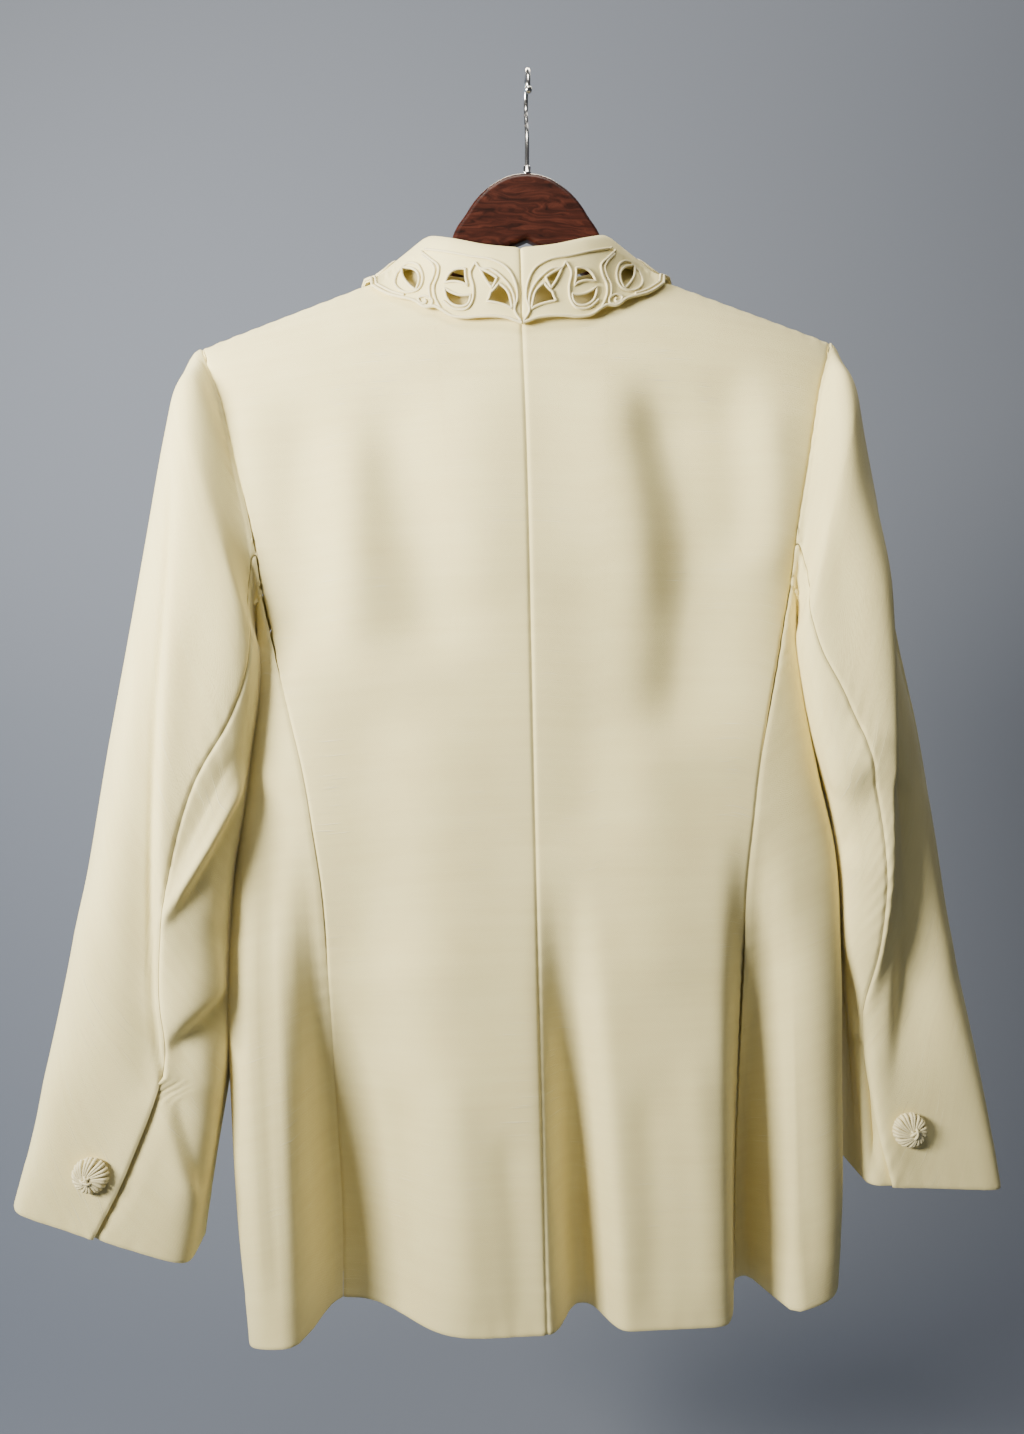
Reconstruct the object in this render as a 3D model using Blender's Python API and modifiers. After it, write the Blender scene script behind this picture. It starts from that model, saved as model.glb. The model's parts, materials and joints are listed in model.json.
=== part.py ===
"""A cream suit jacket with a cutwork collar, hanging on a wooden coat hanger.

Metres, +Z up. The origin is the inside of the hook's bend, where it sits on a rail. The jacket's
back faces -Y. Heights on the jacket are given as drops below the hook, in millimetres.
"""

import math

import bpy
import numpy as np
from mathutils import Matrix, Vector
from mathutils.geometry import delaunay_2d_cdt

MM = 0.001
COLLECTION = "suit_jacket_on_hanger"

# Cloth and seams, mm
CLOTH = 1.5
SEAM_GAP = 0.3
HALF_GAP = SEAM_GAP / 2
SHOULDER_GAP = 0.14

# The jacket hangs a little to the left of the hook and leans, mm and degrees
HANG_SHIFT = -9.5
HANG_ROLL = math.radians(1.4)

# Shoulders and neck, mm
NECK_HALF = 62
NECK_SIDE_DROP = 126
SHOULDER_SLOPE = 0.376
SHOULDER_HALF = 212
BACK_NECK_DROP = 152
FRONT_NECK_DROP = 208
SHOULDER_SOFTNESS = 45
SHOULDER_ROUND = 0.75
LEAST_FALL = 0.02
# Below this drop the back and front stand clear of each other
RIDGE_DROP = 200

# Sections of the body: half widths to the left and right, depth to the back and to the front, mm
BODY_COLUMNS = ("drop", "left", "right", "back", "front")
BODY_LEVELS = (
    (100, 222, 222, 26, 24),
    (180, 216, 216, 39, 37),
    (250, 206, 206, 50, 52),
    (310, 193, 193, 53, 64),
    (340, 183, 183, 52, 68),
    (370, 175, 176, 50, 70),
    (410, 175.5, 179.5, 48, 69),
    (440, 179, 183.5, 46, 68),
    (480, 184.5, 190, 44, 64),
    (520, 191, 199, 43, 60),
    (600, 199.5, 203, 44, 57),
    (680, 200.8, 202.3, 45, 58),
    (760, 199, 200.8, 45, 60),
    (830, 194, 195.5, 44, 62),
    (900, 192, 193, 44, 62),
)
BODY_SQUARENESS = 5
WIDEST_SHARE = 0.9995
BACK_HEM_DROP = 828
FRONT_HEM_DROP = 846
# How much lower the hem of each side panel hangs half way round than at its seams
LEFT_SIDE_DIP = 11
RIGHT_SIDE_DIP = -15
# Share of each panel's top edge that the neckline takes, and points across each panel
BACK_NECK_SHARE = 0.34
FRONT_NECK_SHARE = 0.42
BACK_POINTS = 16
FRONT_POINTS = 10

# Outer seam line of the back and front panels on each half, mm
EDGE_COLUMNS = ("drop", "x")
BACK_EDGE = (
    (182.5, 212), (194, 208), (215, 199), (250, 189), (277, 183), (303, 177.5), (328, 173.5),
    (352, 171), (388, 163.5), (434, 153.5), (463, 147.5), (502, 142), (538, 138), (600, 136),
    (700, 135), (770, 134.5), (830, 136),
)
FRONT_EDGE = (
    (182.5, 212), (194, 207.5), (210, 199), (235, 187.5), (265, 177), (300, 168.5), (330, 164),
    (352, 162), (388, 154), (434, 146.5), (520, 138), (620, 138), (720, 142), (850, 145),
)
ARMHOLE_FOOT_DROP = 352
UNDERARM_DROP = 376
UNDERARM_ROUND = 0.8
# Heights at which the panels and the sleeves share their points
ARMHOLE_DROPS = (182.54, 186.5, 193, 204, 220, 240, 264, 291, 321, 352)
SIDE_SEAM_DROPS = (352, 376, 402, 430, 460, 492, 526, 560, 594, 628, 662, 696, 730, 763, 796, 828)
UNDERARM_SHARES = (0, 0.08, 0.17, 0.27, 0.38, 0.5, 0.62, 0.73, 0.83, 0.92, 1)

# Folds that run down to the hem, mm: x at the hem, x and drop at the top, depth, and the widths
# towards the middle and the side. Those of the fronts are the same on both halves
BACK_FOLDS = (
    (-135, -140, 500, 58, 52, 17),
    (26, 16, 520, 38, 15, 15),
    (140, 141, 500, 60, 15, 14),
)
FRONT_FOLDS = (
    (112, 96, 480, 16, 30, 24),
    (54, 50, 560, 8, 18, 18),
)
FOLD_SQUARENESS = 2.6
FOLD_GROWTH = 0.8
LONGEST_FALL = 1.05

# Rings of the sleeves from the armhole to the cuff, mm: the outer and inner ends of each ring,
# its reach to the back and front, its slant, and where the elbow seam crosses it
SLEEVE_COLUMNS = (
    "outer x", "outer drop", "inner x", "inner drop", "back", "front", "slant", "seam",
)
LEFT_SLEEVE = (
    (213, 182, 175, 375, 46, 52, 4, 0.12),
    (222.5, 192, 182, 381, 51, 56, 6, 0.14),
    (239, 245, 179.5, 396, 56, 57, 12, 0.17),
    (255.3, 310, 180, 424, 58, 53, 16, 0.2),
    (269.7, 376, 183, 454, 58, 46, 16, 0.26),
    (284.3, 448, 188, 492, 58, 40, 14, 0.36),
    (296.3, 518, 196.5, 536, 57, 32, 12, 0.39),
    (305.6, 582, 200.8, 590, 54, 24, 8, 0.35),
    (317.1, 641, 201.5, 650, 50, 16, 5, 0.34),
    (328.6, 697, 212, 717, 46, 9, 3, 0.42),
    (335.5, 735, 224, 775, 43, 4, 0, 0.52),
)
RIGHT_SLEEVE = (
    (213, 182, 175, 375, 46, 52, 4, 0.12),
    (220, 194, 182.5, 381, 51, 56, 6, 0.17),
    (232, 249, 181.5, 396, 56, 57, 12, 0.21),
    (246, 315, 184.8, 428, 56, 54, 15, 0.27),
    (257, 380, 189, 460, 54, 50, 15, 0.38),
    (270, 446, 198.5, 498, 47, 50, 13, 0.44),
    (279.5, 515, 204.5, 542, 38, 50, 11, 0.44),
    (286, 582, 206, 590, 31, 48, 8, 0.36),
    (295, 646, 210, 645, 27, 45, 4, 0.15),
    (303, 706, 213.5, 700, 26, 42, 2, 0.17),
    (307, 756, 215, 749, 27, 40, 0, 0.22),
)
SLEEVE_SQUARENESS = 3.2
FRONT_SLEEVE_SEAM = 0.2
SEAM_LIMIT = 0.98
CAP_RINGS = 1.6
CAP_LIFT = 1.3
CAP_LIFT_RINGS = 0.3
SLEEVE_GAP_TURN = 0.006
# Share of the sleeve's length at each ring of points, near the armhole, then evenly to the cuff
CAP_SHARES = (0, 0.03, 0.07)
EVEN_FROM = 0.115
EVEN_POINTS = 18

# The collar along its fold, from the middle of the back to the front end, mm
COLLAR_COLUMNS = (
    "fold x", "fold y", "fold drop", "edge x", "edge y", "edge drop", "neck x", "neck y", "neck drop",
)
COLLAR_LINE = (
    (0, -33, 130, 0, -43, 181, 0, -29, 151),
    (22, -31, 127, 25, -43, 179, 20, -28, 150),
    (44, -22, 119, 53, -38, 172, 42, -22, 142),
    (59, -6, 111, 84, -22, 159, 59, -6, 128),
    (62, 8, 111, 104, 3, 140, 61, 8, 128),
    (60, 25, 120, 102, 32, 158, 59, 24, 139),
    (50, 40, 142, 84, 52, 192, 49, 36, 162),
    (30, 50, 170, 56, 62, 222, 30, 43, 190),
    (6, 54, 186, 16, 66, 240, 6, 46, 206),
)
COLLAR_FALL = 50
COLLAR_STAND = 22
COLLAR_LENGTH = 190
COLLAR_CLEARANCE = 2.6
COLLAR_ROLL = 4.5
STAND_ROLL = 1.2
COLLAR_FRONT_Y = 4
# Over the shoulder seam the collar clears the ridge by this much, and less away from it
RIDGE_CLEARANCE = 3.4
RIDGE_EASE = 0.42
COLLAR_LONG_POINTS = 23
COLLAR_FALL_POINTS = 9
COLLAR_STAND_POINTS = 4

# Openings in one motif of the cutwork, mm and degrees: distance along the collar and below its
# fold, length, width, turn and shape. Each half of the collar has the motif and its mirror image
# about MOTIF_MIDDLE, with one more leaf between them
CUTWORK = (
    (21, 21.2, 12, 7, -40, "leaf"),
    (13, 33, 17, 10, -40, "leaf"),
    (39.5, 23.5, 15, 8, 40, "leaf"),
    (38.5, 37.5, 16, 9, 0, "leaf"),
    (68.5, 31, 15, 6.5, 130, "moon"),
)
MOTIF_MIDDLE = 94
MIDDLE_LEAF = (94, 30, 18, 12, 90, "leaf")
CUTWORK_SIDES = 12
MOON_HOLLOW = 0.15
# Other points of the collar keep out of each opening grown by this
CUTWORK_MARGIN = 1.35

# Buttons, mm
BUTTON_RADIUS = 12
BUTTON_HEIGHT = 7.2
BUTTON_RIM = 2.8
BUTTON_FOOT = 4
BUTTON_DOME_TURNS = (25, 50, 72)
BUTTON_UNDERCUT = 1.6
BUTTON_STEPS = 16
BUTTON_CLEARANCE = 0.6
LEFT_CUFF_BUTTON = (-283, 711)
RIGHT_CUFF_BUTTON = (243, 712)
FRONT_BUTTON_DROPS = (268, 400, 532)
CUFF_RINGS = (8, 10)
CUFF_MARGIN = 0.1
CUFF_SEARCH = 120

# Hanger, mm, seen from the back and the same on both sides
HANGER_THICKNESS = 11
HANGER_EDGE_ROUND = 3.4
HANGER_TOP = (
    (0, 67.2), (7, 67.9), (14, 69.8), (22, 74.2), (30, 80.4), (36, 87.2), (42, 96.5), (47.5, 104.5),
    (50.5, 112), (51.2, 119), (52.3, 127), (58, 134), (70, 138), (84, 141.8), (120, 154.5),
    (160, 170), (182, 179.2), (191, 184.2), (195, 190),
)
HANGER_UNDER = (
    (195, 196), (191, 200.5), (184, 202), (160, 194), (110, 174), (70, 154.5), (40, 135.5),
    (20, 121.5), (0, 112),
)

# Hook, mm, in the plane across the hanger
WIRE_RADIUS = 1.5
RAIL_RADIUS = 12.5
HOOK_RADIUS = RAIL_RADIUS + WIRE_RADIUS
HOOK_START_TURN = -8
HOOK_END_TURN = 222
HOOK_STEP_TURN = 14.375
HOOK_STEM = ((7.4, 29.0), (3.6, 34.6), (1.2, 40.5), (0.2, 47.0), (0, 54.0), (0, 66.9))
BALL_RADIUS = 2.6
BALL_RINGS = 5
BALL_START = 0.19
BALL_CLEARANCE = 0.3
LEAST_SHARE = 0.12

# Colours: linear red, green, blue; then roughness and metallic
CREAM = ((0.70, 0.65, 0.50), 0.85, 0.0)
CREAM_SATIN = ((0.72, 0.66, 0.50), 0.45, 0.0)
RED_WOOD = ((0.105, 0.022, 0.012), 0.28, 0.0)
STEEL = ((0.62, 0.61, 0.60), 0.22, 1.0)

SHARP_ANGLE = math.radians(40)
SURFACE_STEP = 0.002
COLLAR_STEP = 0.4
MERGE_DISTANCE = 0.00005


# Helpers


def column(table, names, name):
    return np.array([row[names.index(name)] for row in table], float)


def smooth(x, xs, ys):
    """A smooth curve through the points (xs, ys), read at x."""
    x = np.clip(np.asarray(x, float), xs[0], xs[-1])
    slopes = np.gradient(ys, xs)
    i = np.clip(np.searchsorted(xs, x) - 1, 0, len(xs) - 2)
    step = xs[i + 1] - xs[i]
    t = (x - xs[i]) / step
    rise = (2 * t**3 - 3 * t**2 + 1) * ys[i] + (3 * t**2 - 2 * t**3) * ys[i + 1]
    bend = (t**3 - 2 * t**2 + t) * slopes[i] + (t**3 - t**2) * slopes[i + 1]
    return rise + bend * step


def read(table, names, name, x, key="drop"):
    return smooth(x, column(table, names, key), column(table, names, name))


def ease(t):
    t = np.clip(t, 0, 1)
    return t * t * (3 - 2 * t)


def stack(x, y, drop):
    return np.stack(np.broadcast_arrays(x, y, -np.asarray(drop, float)), axis=-1)


def hang(points):
    """From the jacket's own frame in mm to the row's frame in metres."""
    cos, sin = math.cos(HANG_ROLL), math.sin(HANG_ROLL)
    x, y, z = np.moveaxis(np.asarray(points, float), -1, 0)
    return np.stack([x * cos - z * sin + HANG_SHIFT, y, x * sin + z * cos], axis=-1) * MM


def material(name, finish):
    colour, roughness, metallic = finish
    made = bpy.data.materials.new(name)
    made.use_nodes = True
    shader = made.node_tree.nodes["Principled BSDF"]
    shader.inputs["Base Color"].default_value = (*colour, 1)
    shader.inputs["Roughness"].default_value = roughness
    shader.inputs["Metallic"].default_value = metallic
    made.diffuse_color = (*colour, 1)
    return made


def add_object(name, data, finish, home):
    obj = bpy.data.objects.new(name, data)
    home.objects.link(obj)
    data.materials.append(material(name, finish))
    return obj


def mesh_object(name, points, faces, finish, home):
    mesh = bpy.data.meshes.new(name)
    mesh.from_pydata([tuple(p) for p in points], [], [tuple(f) for f in faces])
    mesh.update()
    mesh.shade_smooth()
    mesh.set_sharp_from_angle(angle=SHARP_ANGLE)
    return add_object(name, mesh, finish, home)


# Body surface


def overhang(x, drop):
    """How far the cloth has fallen away from the shoulder line, from 0 on it to 1 well below."""
    line = NECK_SIDE_DROP + SHOULDER_SLOPE * (np.abs(x) - NECK_HALF)
    below = np.maximum(drop - line, LEAST_FALL)
    return (1 - np.exp(-below / SHOULDER_SOFTNESS)) ** SHOULDER_ROUND


def half_width(side, drop):
    left = read(BODY_LEVELS, BODY_COLUMNS, "left", drop)
    right = read(BODY_LEVELS, BODY_COLUMNS, "right", drop)
    return np.where(np.asarray(side) < 0, left, right)


def fold_depth(x, drop, folds, hem_drop):
    """Sum of the folds' depths at a place, each growing from its top to the hem."""
    total = 0
    for hem_x, top_x, top_drop, depth, inner, outer in folds:
        fall = np.clip((drop - top_drop) / (hem_drop - top_drop), 0, LONGEST_FALL)
        middle = top_x + (hem_x - top_x) * fall
        away = (x - middle) * (1 if hem_x > 0 else -1)
        width = np.where(away < 0, inner, outer)
        shape = np.exp(-((np.abs(away) / width) ** FOLD_SQUARENESS))
        total = total + depth * shape * ease(fall) ** FOLD_GROWTH
    return total


def bulge(x, side, drop):
    across = np.clip(np.abs(x) / half_width(side, drop), 0, WIDEST_SHARE)
    return (1 - across**BODY_SQUARENESS) ** (1 / BODY_SQUARENESS)


def back_y(x, drop):
    depth = read(BODY_LEVELS, BODY_COLUMNS, "back", drop)
    flat = -depth * bulge(x, np.sign(x), drop) * overhang(x, drop)
    return flat + fold_depth(x, drop, BACK_FOLDS, BACK_HEM_DROP)


def front_y(x, drop):
    depth = read(BODY_LEVELS, BODY_COLUMNS, "front", drop)
    flat = depth * bulge(x, np.sign(x), drop) * overhang(x, drop)
    return flat - fold_depth(np.abs(x), drop, FRONT_FOLDS, FRONT_HEM_DROP)


def turn_at(edge_x, side, drop):
    """The turn around the section, from 0 at the middle, at which it is edge_x wide."""
    across = edge_x / half_width(side, drop)
    return np.arctan2(across, (1 - across**BODY_SQUARENESS) ** (1 / BODY_SQUARENESS))


def around(side, turn, drop):
    """A point of the body's section, with turn from 0 at the back to pi at the front."""
    sin, cos = np.sin(turn), np.cos(turn)
    reach = (np.abs(sin) ** BODY_SQUARENESS + np.abs(cos) ** BODY_SQUARENESS) ** (-1 / BODY_SQUARENESS)
    x = side * half_width(side, drop) * sin * reach
    back = read(BODY_LEVELS, BODY_COLUMNS, "back", drop)
    front = read(BODY_LEVELS, BODY_COLUMNS, "front", drop)
    on_back = cos > 0
    y = -cos * reach * np.where(on_back, back, front) * overhang(x, drop)
    folds = fold_depth(x, drop, BACK_FOLDS, BACK_HEM_DROP)
    front_folds = fold_depth(np.abs(x), drop, FRONT_FOLDS, FRONT_HEM_DROP)
    y = y + np.where(on_back, folds, -front_folds)
    return stack(x, y, drop)


# Walls


def wall(surface, columns, rows, outward, limit=None):
    """Outer and inner points of a cloth wall over a surface of two numbers from 0 to 1."""
    u, v = np.meshgrid(columns, rows, indexing="ij")
    outer = surface(u, v)
    along = surface(np.clip(u + SURFACE_STEP, 0, 1), v) - surface(np.clip(u - SURFACE_STEP, 0, 1), v)
    down = surface(u, np.clip(v + SURFACE_STEP, 0, 1)) - surface(u, np.clip(v - SURFACE_STEP, 0, 1))
    normal = np.cross(along, down) * outward
    normal /= np.linalg.norm(normal, axis=-1, keepdims=True)
    inner = outer - CLOTH * normal
    if limit is not None:
        inner = limit(inner, outer)
    return outer, inner


def close_wall(outer, inner, flip):
    """One closed body from two grids of points, joined round their edges."""
    n, m = outer.shape[:2]
    points = np.concatenate([outer.reshape(-1, 3), inner.reshape(-1, 3)])
    index = np.arange(n * m).reshape(n, m)
    a, b, c, d = index[:-1, :-1], index[1:, :-1], index[1:, 1:], index[:-1, 1:]
    top = np.stack([a, b, c, d], axis=-1).reshape(-1, 4)
    rim = np.concatenate([index[:, 0], index[-1, 1:], index[-2::-1, -1], index[0, -2:0:-1]])
    after = np.roll(rim, -1)
    edge = np.stack([after, rim, rim + n * m, after + n * m], axis=-1)
    faces = np.concatenate([top, top[:, ::-1] + n * m, edge])
    return points, faces[:, ::-1] if flip else faces


def cloth_panel(name, surface, columns, rows, outward, home, limit=None):
    outer, inner = wall(surface, columns, rows, outward, limit)
    points, faces = close_wall(outer, inner, outward < 0)
    return mesh_object(name, hang(points), faces, CREAM, home)


# Body panels


def coons(bottom, top, inner, outer, u, v):
    """A flat patch between four lines, each a function of one number giving (x, drop)."""
    b, t, i, o = bottom(u), top(u), inner(v), outer(v)
    corners = [f(np.array(e, float)) for f, e in ((bottom, 0), (bottom, 1), (top, 0), (top, 1))]
    made = []
    for k in range(2):
        ruled = (1 - v) * b[k] + v * t[k] + (1 - u) * i[k] + u * o[k]
        low = (1 - u) * corners[0][k] + u * corners[1][k]
        high = (1 - u) * corners[2][k] + u * corners[3][k]
        made.append(ruled - (1 - v) * low - v * high)
    return made


def neck_and_shoulder(u, neck_drop, share):
    """The top edge of a panel: the neckline over the first share of u, then the shoulder seam."""
    turn = np.clip(u / share, 0, 1) * math.pi / 2
    past = np.clip((u - share) / (1 - share), 0, 1)
    x = NECK_HALF * np.sin(turn) + (SHOULDER_HALF - NECK_HALF) * past
    drop = NECK_SIDE_DROP + (neck_drop - NECK_SIDE_DROP) * np.cos(turn)
    return x, drop + SHOULDER_SLOPE * (SHOULDER_HALF - NECK_HALF) * past


def panel_surface(side, front):
    neck_drop = FRONT_NECK_DROP if front else BACK_NECK_DROP
    hem = FRONT_HEM_DROP if front else BACK_HEM_DROP
    edge = FRONT_EDGE if front else BACK_EDGE
    height = front_y if front else back_y
    share = FRONT_NECK_SHARE if front else BACK_NECK_SHARE
    tip_drop = ARMHOLE_DROPS[0]
    side_hem = BACK_HEM_DROP

    def hem_drop(u):
        return hem + (side_hem - hem) * u**2

    def edge_x(drop):
        return read(edge, EDGE_COLUMNS, "x", drop) - HALF_GAP

    def bottom(u):
        return HALF_GAP + (edge_x(side_hem) - HALF_GAP) * u, hem_drop(u)

    def top(u):
        x, drop = neck_and_shoulder(u, neck_drop, share)
        return np.maximum(x, HALF_GAP) - HALF_GAP * u, drop + SHOULDER_GAP

    def inner(v):
        return HALF_GAP + 0 * v, hem + (neck_drop + SHOULDER_GAP - hem) * v

    def outer(v):
        drop = side_hem + (tip_drop - side_hem) * v
        return edge_x(drop), drop

    def surface(u, v):
        x, drop = coons(bottom, top, inner, outer, u, v)
        return stack(side * x, height(side * x, drop), drop)

    return surface


def side_surface(side):
    side_dip = LEFT_SIDE_DIP if side < 0 else RIGHT_SIDE_DIP

    def surface(u, v):
        round_share = np.sin(math.pi * np.clip(u, 0, 1)) ** UNDERARM_ROUND
        top = ARMHOLE_FOOT_DROP + (UNDERARM_DROP - ARMHOLE_FOOT_DROP) * round_share
        hem = BACK_HEM_DROP + side_dip * round_share
        drop = top + (hem - top) * (1 - v)
        back_x = read(BACK_EDGE, EDGE_COLUMNS, "x", drop) + HALF_GAP
        front_x = read(FRONT_EDGE, EDGE_COLUMNS, "x", drop) + HALF_GAP
        start = turn_at(back_x, side, drop)
        end = math.pi - turn_at(front_x, side, drop)
        return around(side, start + (end - start) * u, drop)

    return surface


def build_body(home):
    back_columns = np.linspace(0, 1, BACK_POINTS)
    front_columns = np.linspace(0, 1, FRONT_POINTS)
    seam = np.array(SIDE_SEAM_DROPS, float)
    edge = np.concatenate([seam[::-1], ARMHOLE_DROPS[-2::-1]])
    panel_rows = (BACK_HEM_DROP - edge) / (BACK_HEM_DROP - ARMHOLE_DROPS[0])
    side_rows = (BACK_HEM_DROP - seam[::-1]) / (BACK_HEM_DROP - ARMHOLE_FOOT_DROP)

    def keep_back(inner, outer):
        near = outer[..., 2] > -RIDGE_DROP
        inner[near, 1] = np.minimum(inner[near, 1], -HALF_GAP)
        return inner

    def keep_front(inner, outer):
        near = outer[..., 2] > -RIDGE_DROP
        inner[near, 1] = np.maximum(inner[near, 1], HALF_GAP)
        return inner

    for side, word in ((-1, "left"), (1, "right")):
        back, front = panel_surface(side, False), panel_surface(side, True)
        cloth_panel(f"back_{word}", back, back_columns, panel_rows, side, home, keep_back)
        cloth_panel(f"front_{word}", front, front_columns, panel_rows, -side, home, keep_front)
        cloth_panel(f"side_{word}", side_surface(side), UNDERARM_SHARES, side_rows, side, home)


# Sleeves


def armhole(side):
    """The armhole's corners as turns round its middle, from the shoulder tip by the back."""
    drops = np.array(ARMHOLE_DROPS)
    back_x = side * read(BACK_EDGE, EDGE_COLUMNS, "x", drops)
    front_x = side * read(FRONT_EDGE, EDGE_COLUMNS, "x", drops)
    back = stack(back_x, back_y(back_x, drops), drops)
    front = stack(front_x, front_y(front_x, drops), drops)
    under = side_surface(side)(np.array(UNDERARM_SHARES), 1.0)
    tip = np.array([[side * SHOULDER_HALF, 0, -drops[0]]])
    loop = np.concatenate([tip, back[1:-1], under, front[-2:0:-1], tip])
    middle = (drops[0] + UNDERARM_DROP) / 2
    turns = np.unwrap(np.arctan2(-loop[:, 1], loop[:, 2] + middle))
    return turns, loop


def sleeve_surface(side, rows):
    turns, loop = armhole(side)
    stations = np.arange(len(rows), dtype=float)
    values = {name: column(rows, SLEEVE_COLUMNS, name) for name in SLEEVE_COLUMNS}
    power = SLEEVE_SQUARENESS
    dual = power / (power - 1)

    def at(name, t):
        return smooth(t, stations, values[name])

    def ring(turn, t):
        """turn runs from 0 at the outer end by the back to pi at the inner end, then by the front."""
        cos, sin = np.cos(turn), np.sin(turn)
        reach = (np.abs(sin) ** power + np.abs(cos) ** power) ** (-1 / power)
        out_x, out_drop = at("outer x", t), at("outer drop", t)
        in_x, in_drop = at("inner x", t), at("inner drop", t)
        half_x, half_drop = (out_x - in_x) / 2, (out_drop - in_drop) / 2
        half = np.hypot(half_x, half_drop)
        slant = at("slant", t)
        narrow = (half**dual - slant**dual) ** (1 / dual) / half
        back, front = at("back", t), at("front", t)
        depth = np.where(sin > 0, back, front)
        across = cos * reach * narrow
        x = (out_x + in_x) / 2 + half_x * across - slant * sin * reach
        drop = (out_drop + in_drop) / 2 + half_drop * across
        return stack(side * x, -depth * sin * reach, drop)

    def surface(turn, t):
        start = np.stack([smooth(turn, turns, loop[:, k]) for k in range(3)], axis=-1)
        share = ease(t / CAP_RINGS)[..., None]
        lift = SEAM_GAP + CAP_LIFT * np.clip(t / CAP_LIFT_RINGS, 0, 1)
        made = start * (1 - share) + ring(turn, t) * share
        made[..., 0] += side * lift
        return made

    return surface, lambda t: at("seam", t), turns


def seam_turn(share):
    """The turn on the back of a ring at a share of its width from the inner end."""
    return np.arccos(np.clip(2 * share - 1, -SEAM_LIMIT, SEAM_LIMIT))


def build_sleeves(home):
    last = len(LEFT_SLEEVE) - 1.0
    for side, word, rows in ((-1, "left", LEFT_SLEEVE), (1, "right", RIGHT_SLEEVE)):
        surface, seam, turns = sleeve_surface(side, rows)
        front = seam_turn(FRONT_SLEEVE_SEAM)

        def top_piece(u, v, surface=surface, seam=seam, front=front):
            t = v * last
            start, end = -front + SLEEVE_GAP_TURN, seam_turn(seam(t)) - SLEEVE_GAP_TURN
            turn = start + (end - start) * u
            return surface(np.where(turn < 0, turn + 2 * math.pi, turn), t)

        def under_piece(u, v, surface=surface, seam=seam, front=front):
            t = v * last
            start = seam_turn(seam(t)) + SLEEVE_GAP_TURN
            end = 2 * math.pi - front - SLEEVE_GAP_TURN
            return surface(start + (end - start) * u, t)

        back = float(seam_turn(seam(0.0)))
        whole = 2 * math.pi
        on_front = turns[turns > whole - front] - whole
        on_back = turns[1:][turns[1:] < back]
        over = np.concatenate([on_front, on_back])
        top_columns = np.concatenate([[0], (over + front) / (back + front), [1]])
        below = turns[(turns > back) & (turns < whole - front)]
        under_columns = np.concatenate([[0], (below - back) / (whole - front - back), [1]])

        def keep_out(inner, outer, side=side):
            inner[:, 0, 0] = side * np.maximum(side * inner[:, 0, 0], side * outer[:, 0, 0])
            return inner

        rings = np.concatenate([CAP_SHARES, np.linspace(EVEN_FROM, 1, EVEN_POINTS)])
        cloth_panel(f"top_sleeve_{word}", top_piece, top_columns, rings, side, home, keep_out)
        cloth_panel(f"under_sleeve_{word}", under_piece, under_columns, rings, side, home, keep_out)


# Collar


def collar_surface(side):
    """A point of the collar at a distance along it and below its fold, in mm; the stand is above 0."""
    stations = np.linspace(0, COLLAR_LENGTH, len(COLLAR_LINE))
    values = {name: column(COLLAR_LINE, COLLAR_COLUMNS, name) for name in COLLAR_COLUMNS}

    def line(word, along):
        parts = [smooth(along, stations, values[f"{word} {k}"]) for k in ("x", "y", "drop")]
        return stack(*parts)

    def surface(along, below):
        fold, edge, neck = line("fold", along), line("edge", along), line("neck", along)
        out = edge - fold
        out[..., 2] = 0
        out /= np.linalg.norm(out, axis=-1, keepdims=True)
        down = np.clip(below / COLLAR_FALL, 0, 1)[..., None]
        up = np.clip(-below / COLLAR_STAND, 0, 1)[..., None]
        shoulder = fold + out * COLLAR_ROLL
        shoulder[..., 2] -= COLLAR_ROLL
        fall = (1 - down) ** 2 * fold + 2 * down * (1 - down) * (shoulder + edge) / 2 + down**2 * edge
        arch = np.sqrt(down * (1 - down) ** 3)
        fall = fall + out * arch * COLLAR_ROLL * 2
        stand = fold + (neck - fold) * up
        stand = stand - out * np.sqrt(up * (1 - up) ** 3) * STAND_ROLL
        point = np.where(below[..., None] > 0, fall, stand)
        x, y, drop = point[..., 0], point[..., 1], -point[..., 2]
        rest_back = back_y(x, drop) - COLLAR_CLEARANCE
        rest_front = front_y(x, drop) + COLLAR_CLEARANCE
        ridge = NECK_SIDE_DROP + SHOULDER_SLOPE * (np.abs(x) - NECK_HALF)
        lifted = ridge - RIDGE_CLEARANCE + RIDGE_EASE * np.abs(y)
        over_ridge = (below > 0) & (np.abs(y) < 3 * COLLAR_CLEARANCE)
        drop = np.where(over_ridge, np.minimum(drop, lifted), drop)
        under = (below > 0) & (drop > ridge)
        y = np.where(under & (y < COLLAR_FRONT_Y), np.minimum(y, rest_back), y)
        y = np.where(under & (y >= COLLAR_FRONT_Y), np.maximum(y, rest_front), y)
        return stack(side * x, y, drop)

    return surface


def hole_outline(along, below, long, wide, turn, shape):
    """A pointed leaf, or a moon with one hollow side, as points (along, below)."""
    share = np.linspace(-1, 1, CUTWORK_SIDES // 2 + 1)
    rise = 1 - share**2
    low = -rise / 2 if shape == "leaf" else rise * MOON_HOLLOW
    high = rise / 2 if shape == "leaf" else rise
    x = np.concatenate([share, share[-2:0:-1]]) * long / 2
    y = np.concatenate([low, high[-2:0:-1]]) * wide
    cos, sin = math.cos(math.radians(turn)), math.sin(math.radians(turn))
    return np.stack([along + x * cos - y * sin, below + x * sin + y * cos], axis=-1)


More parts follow.
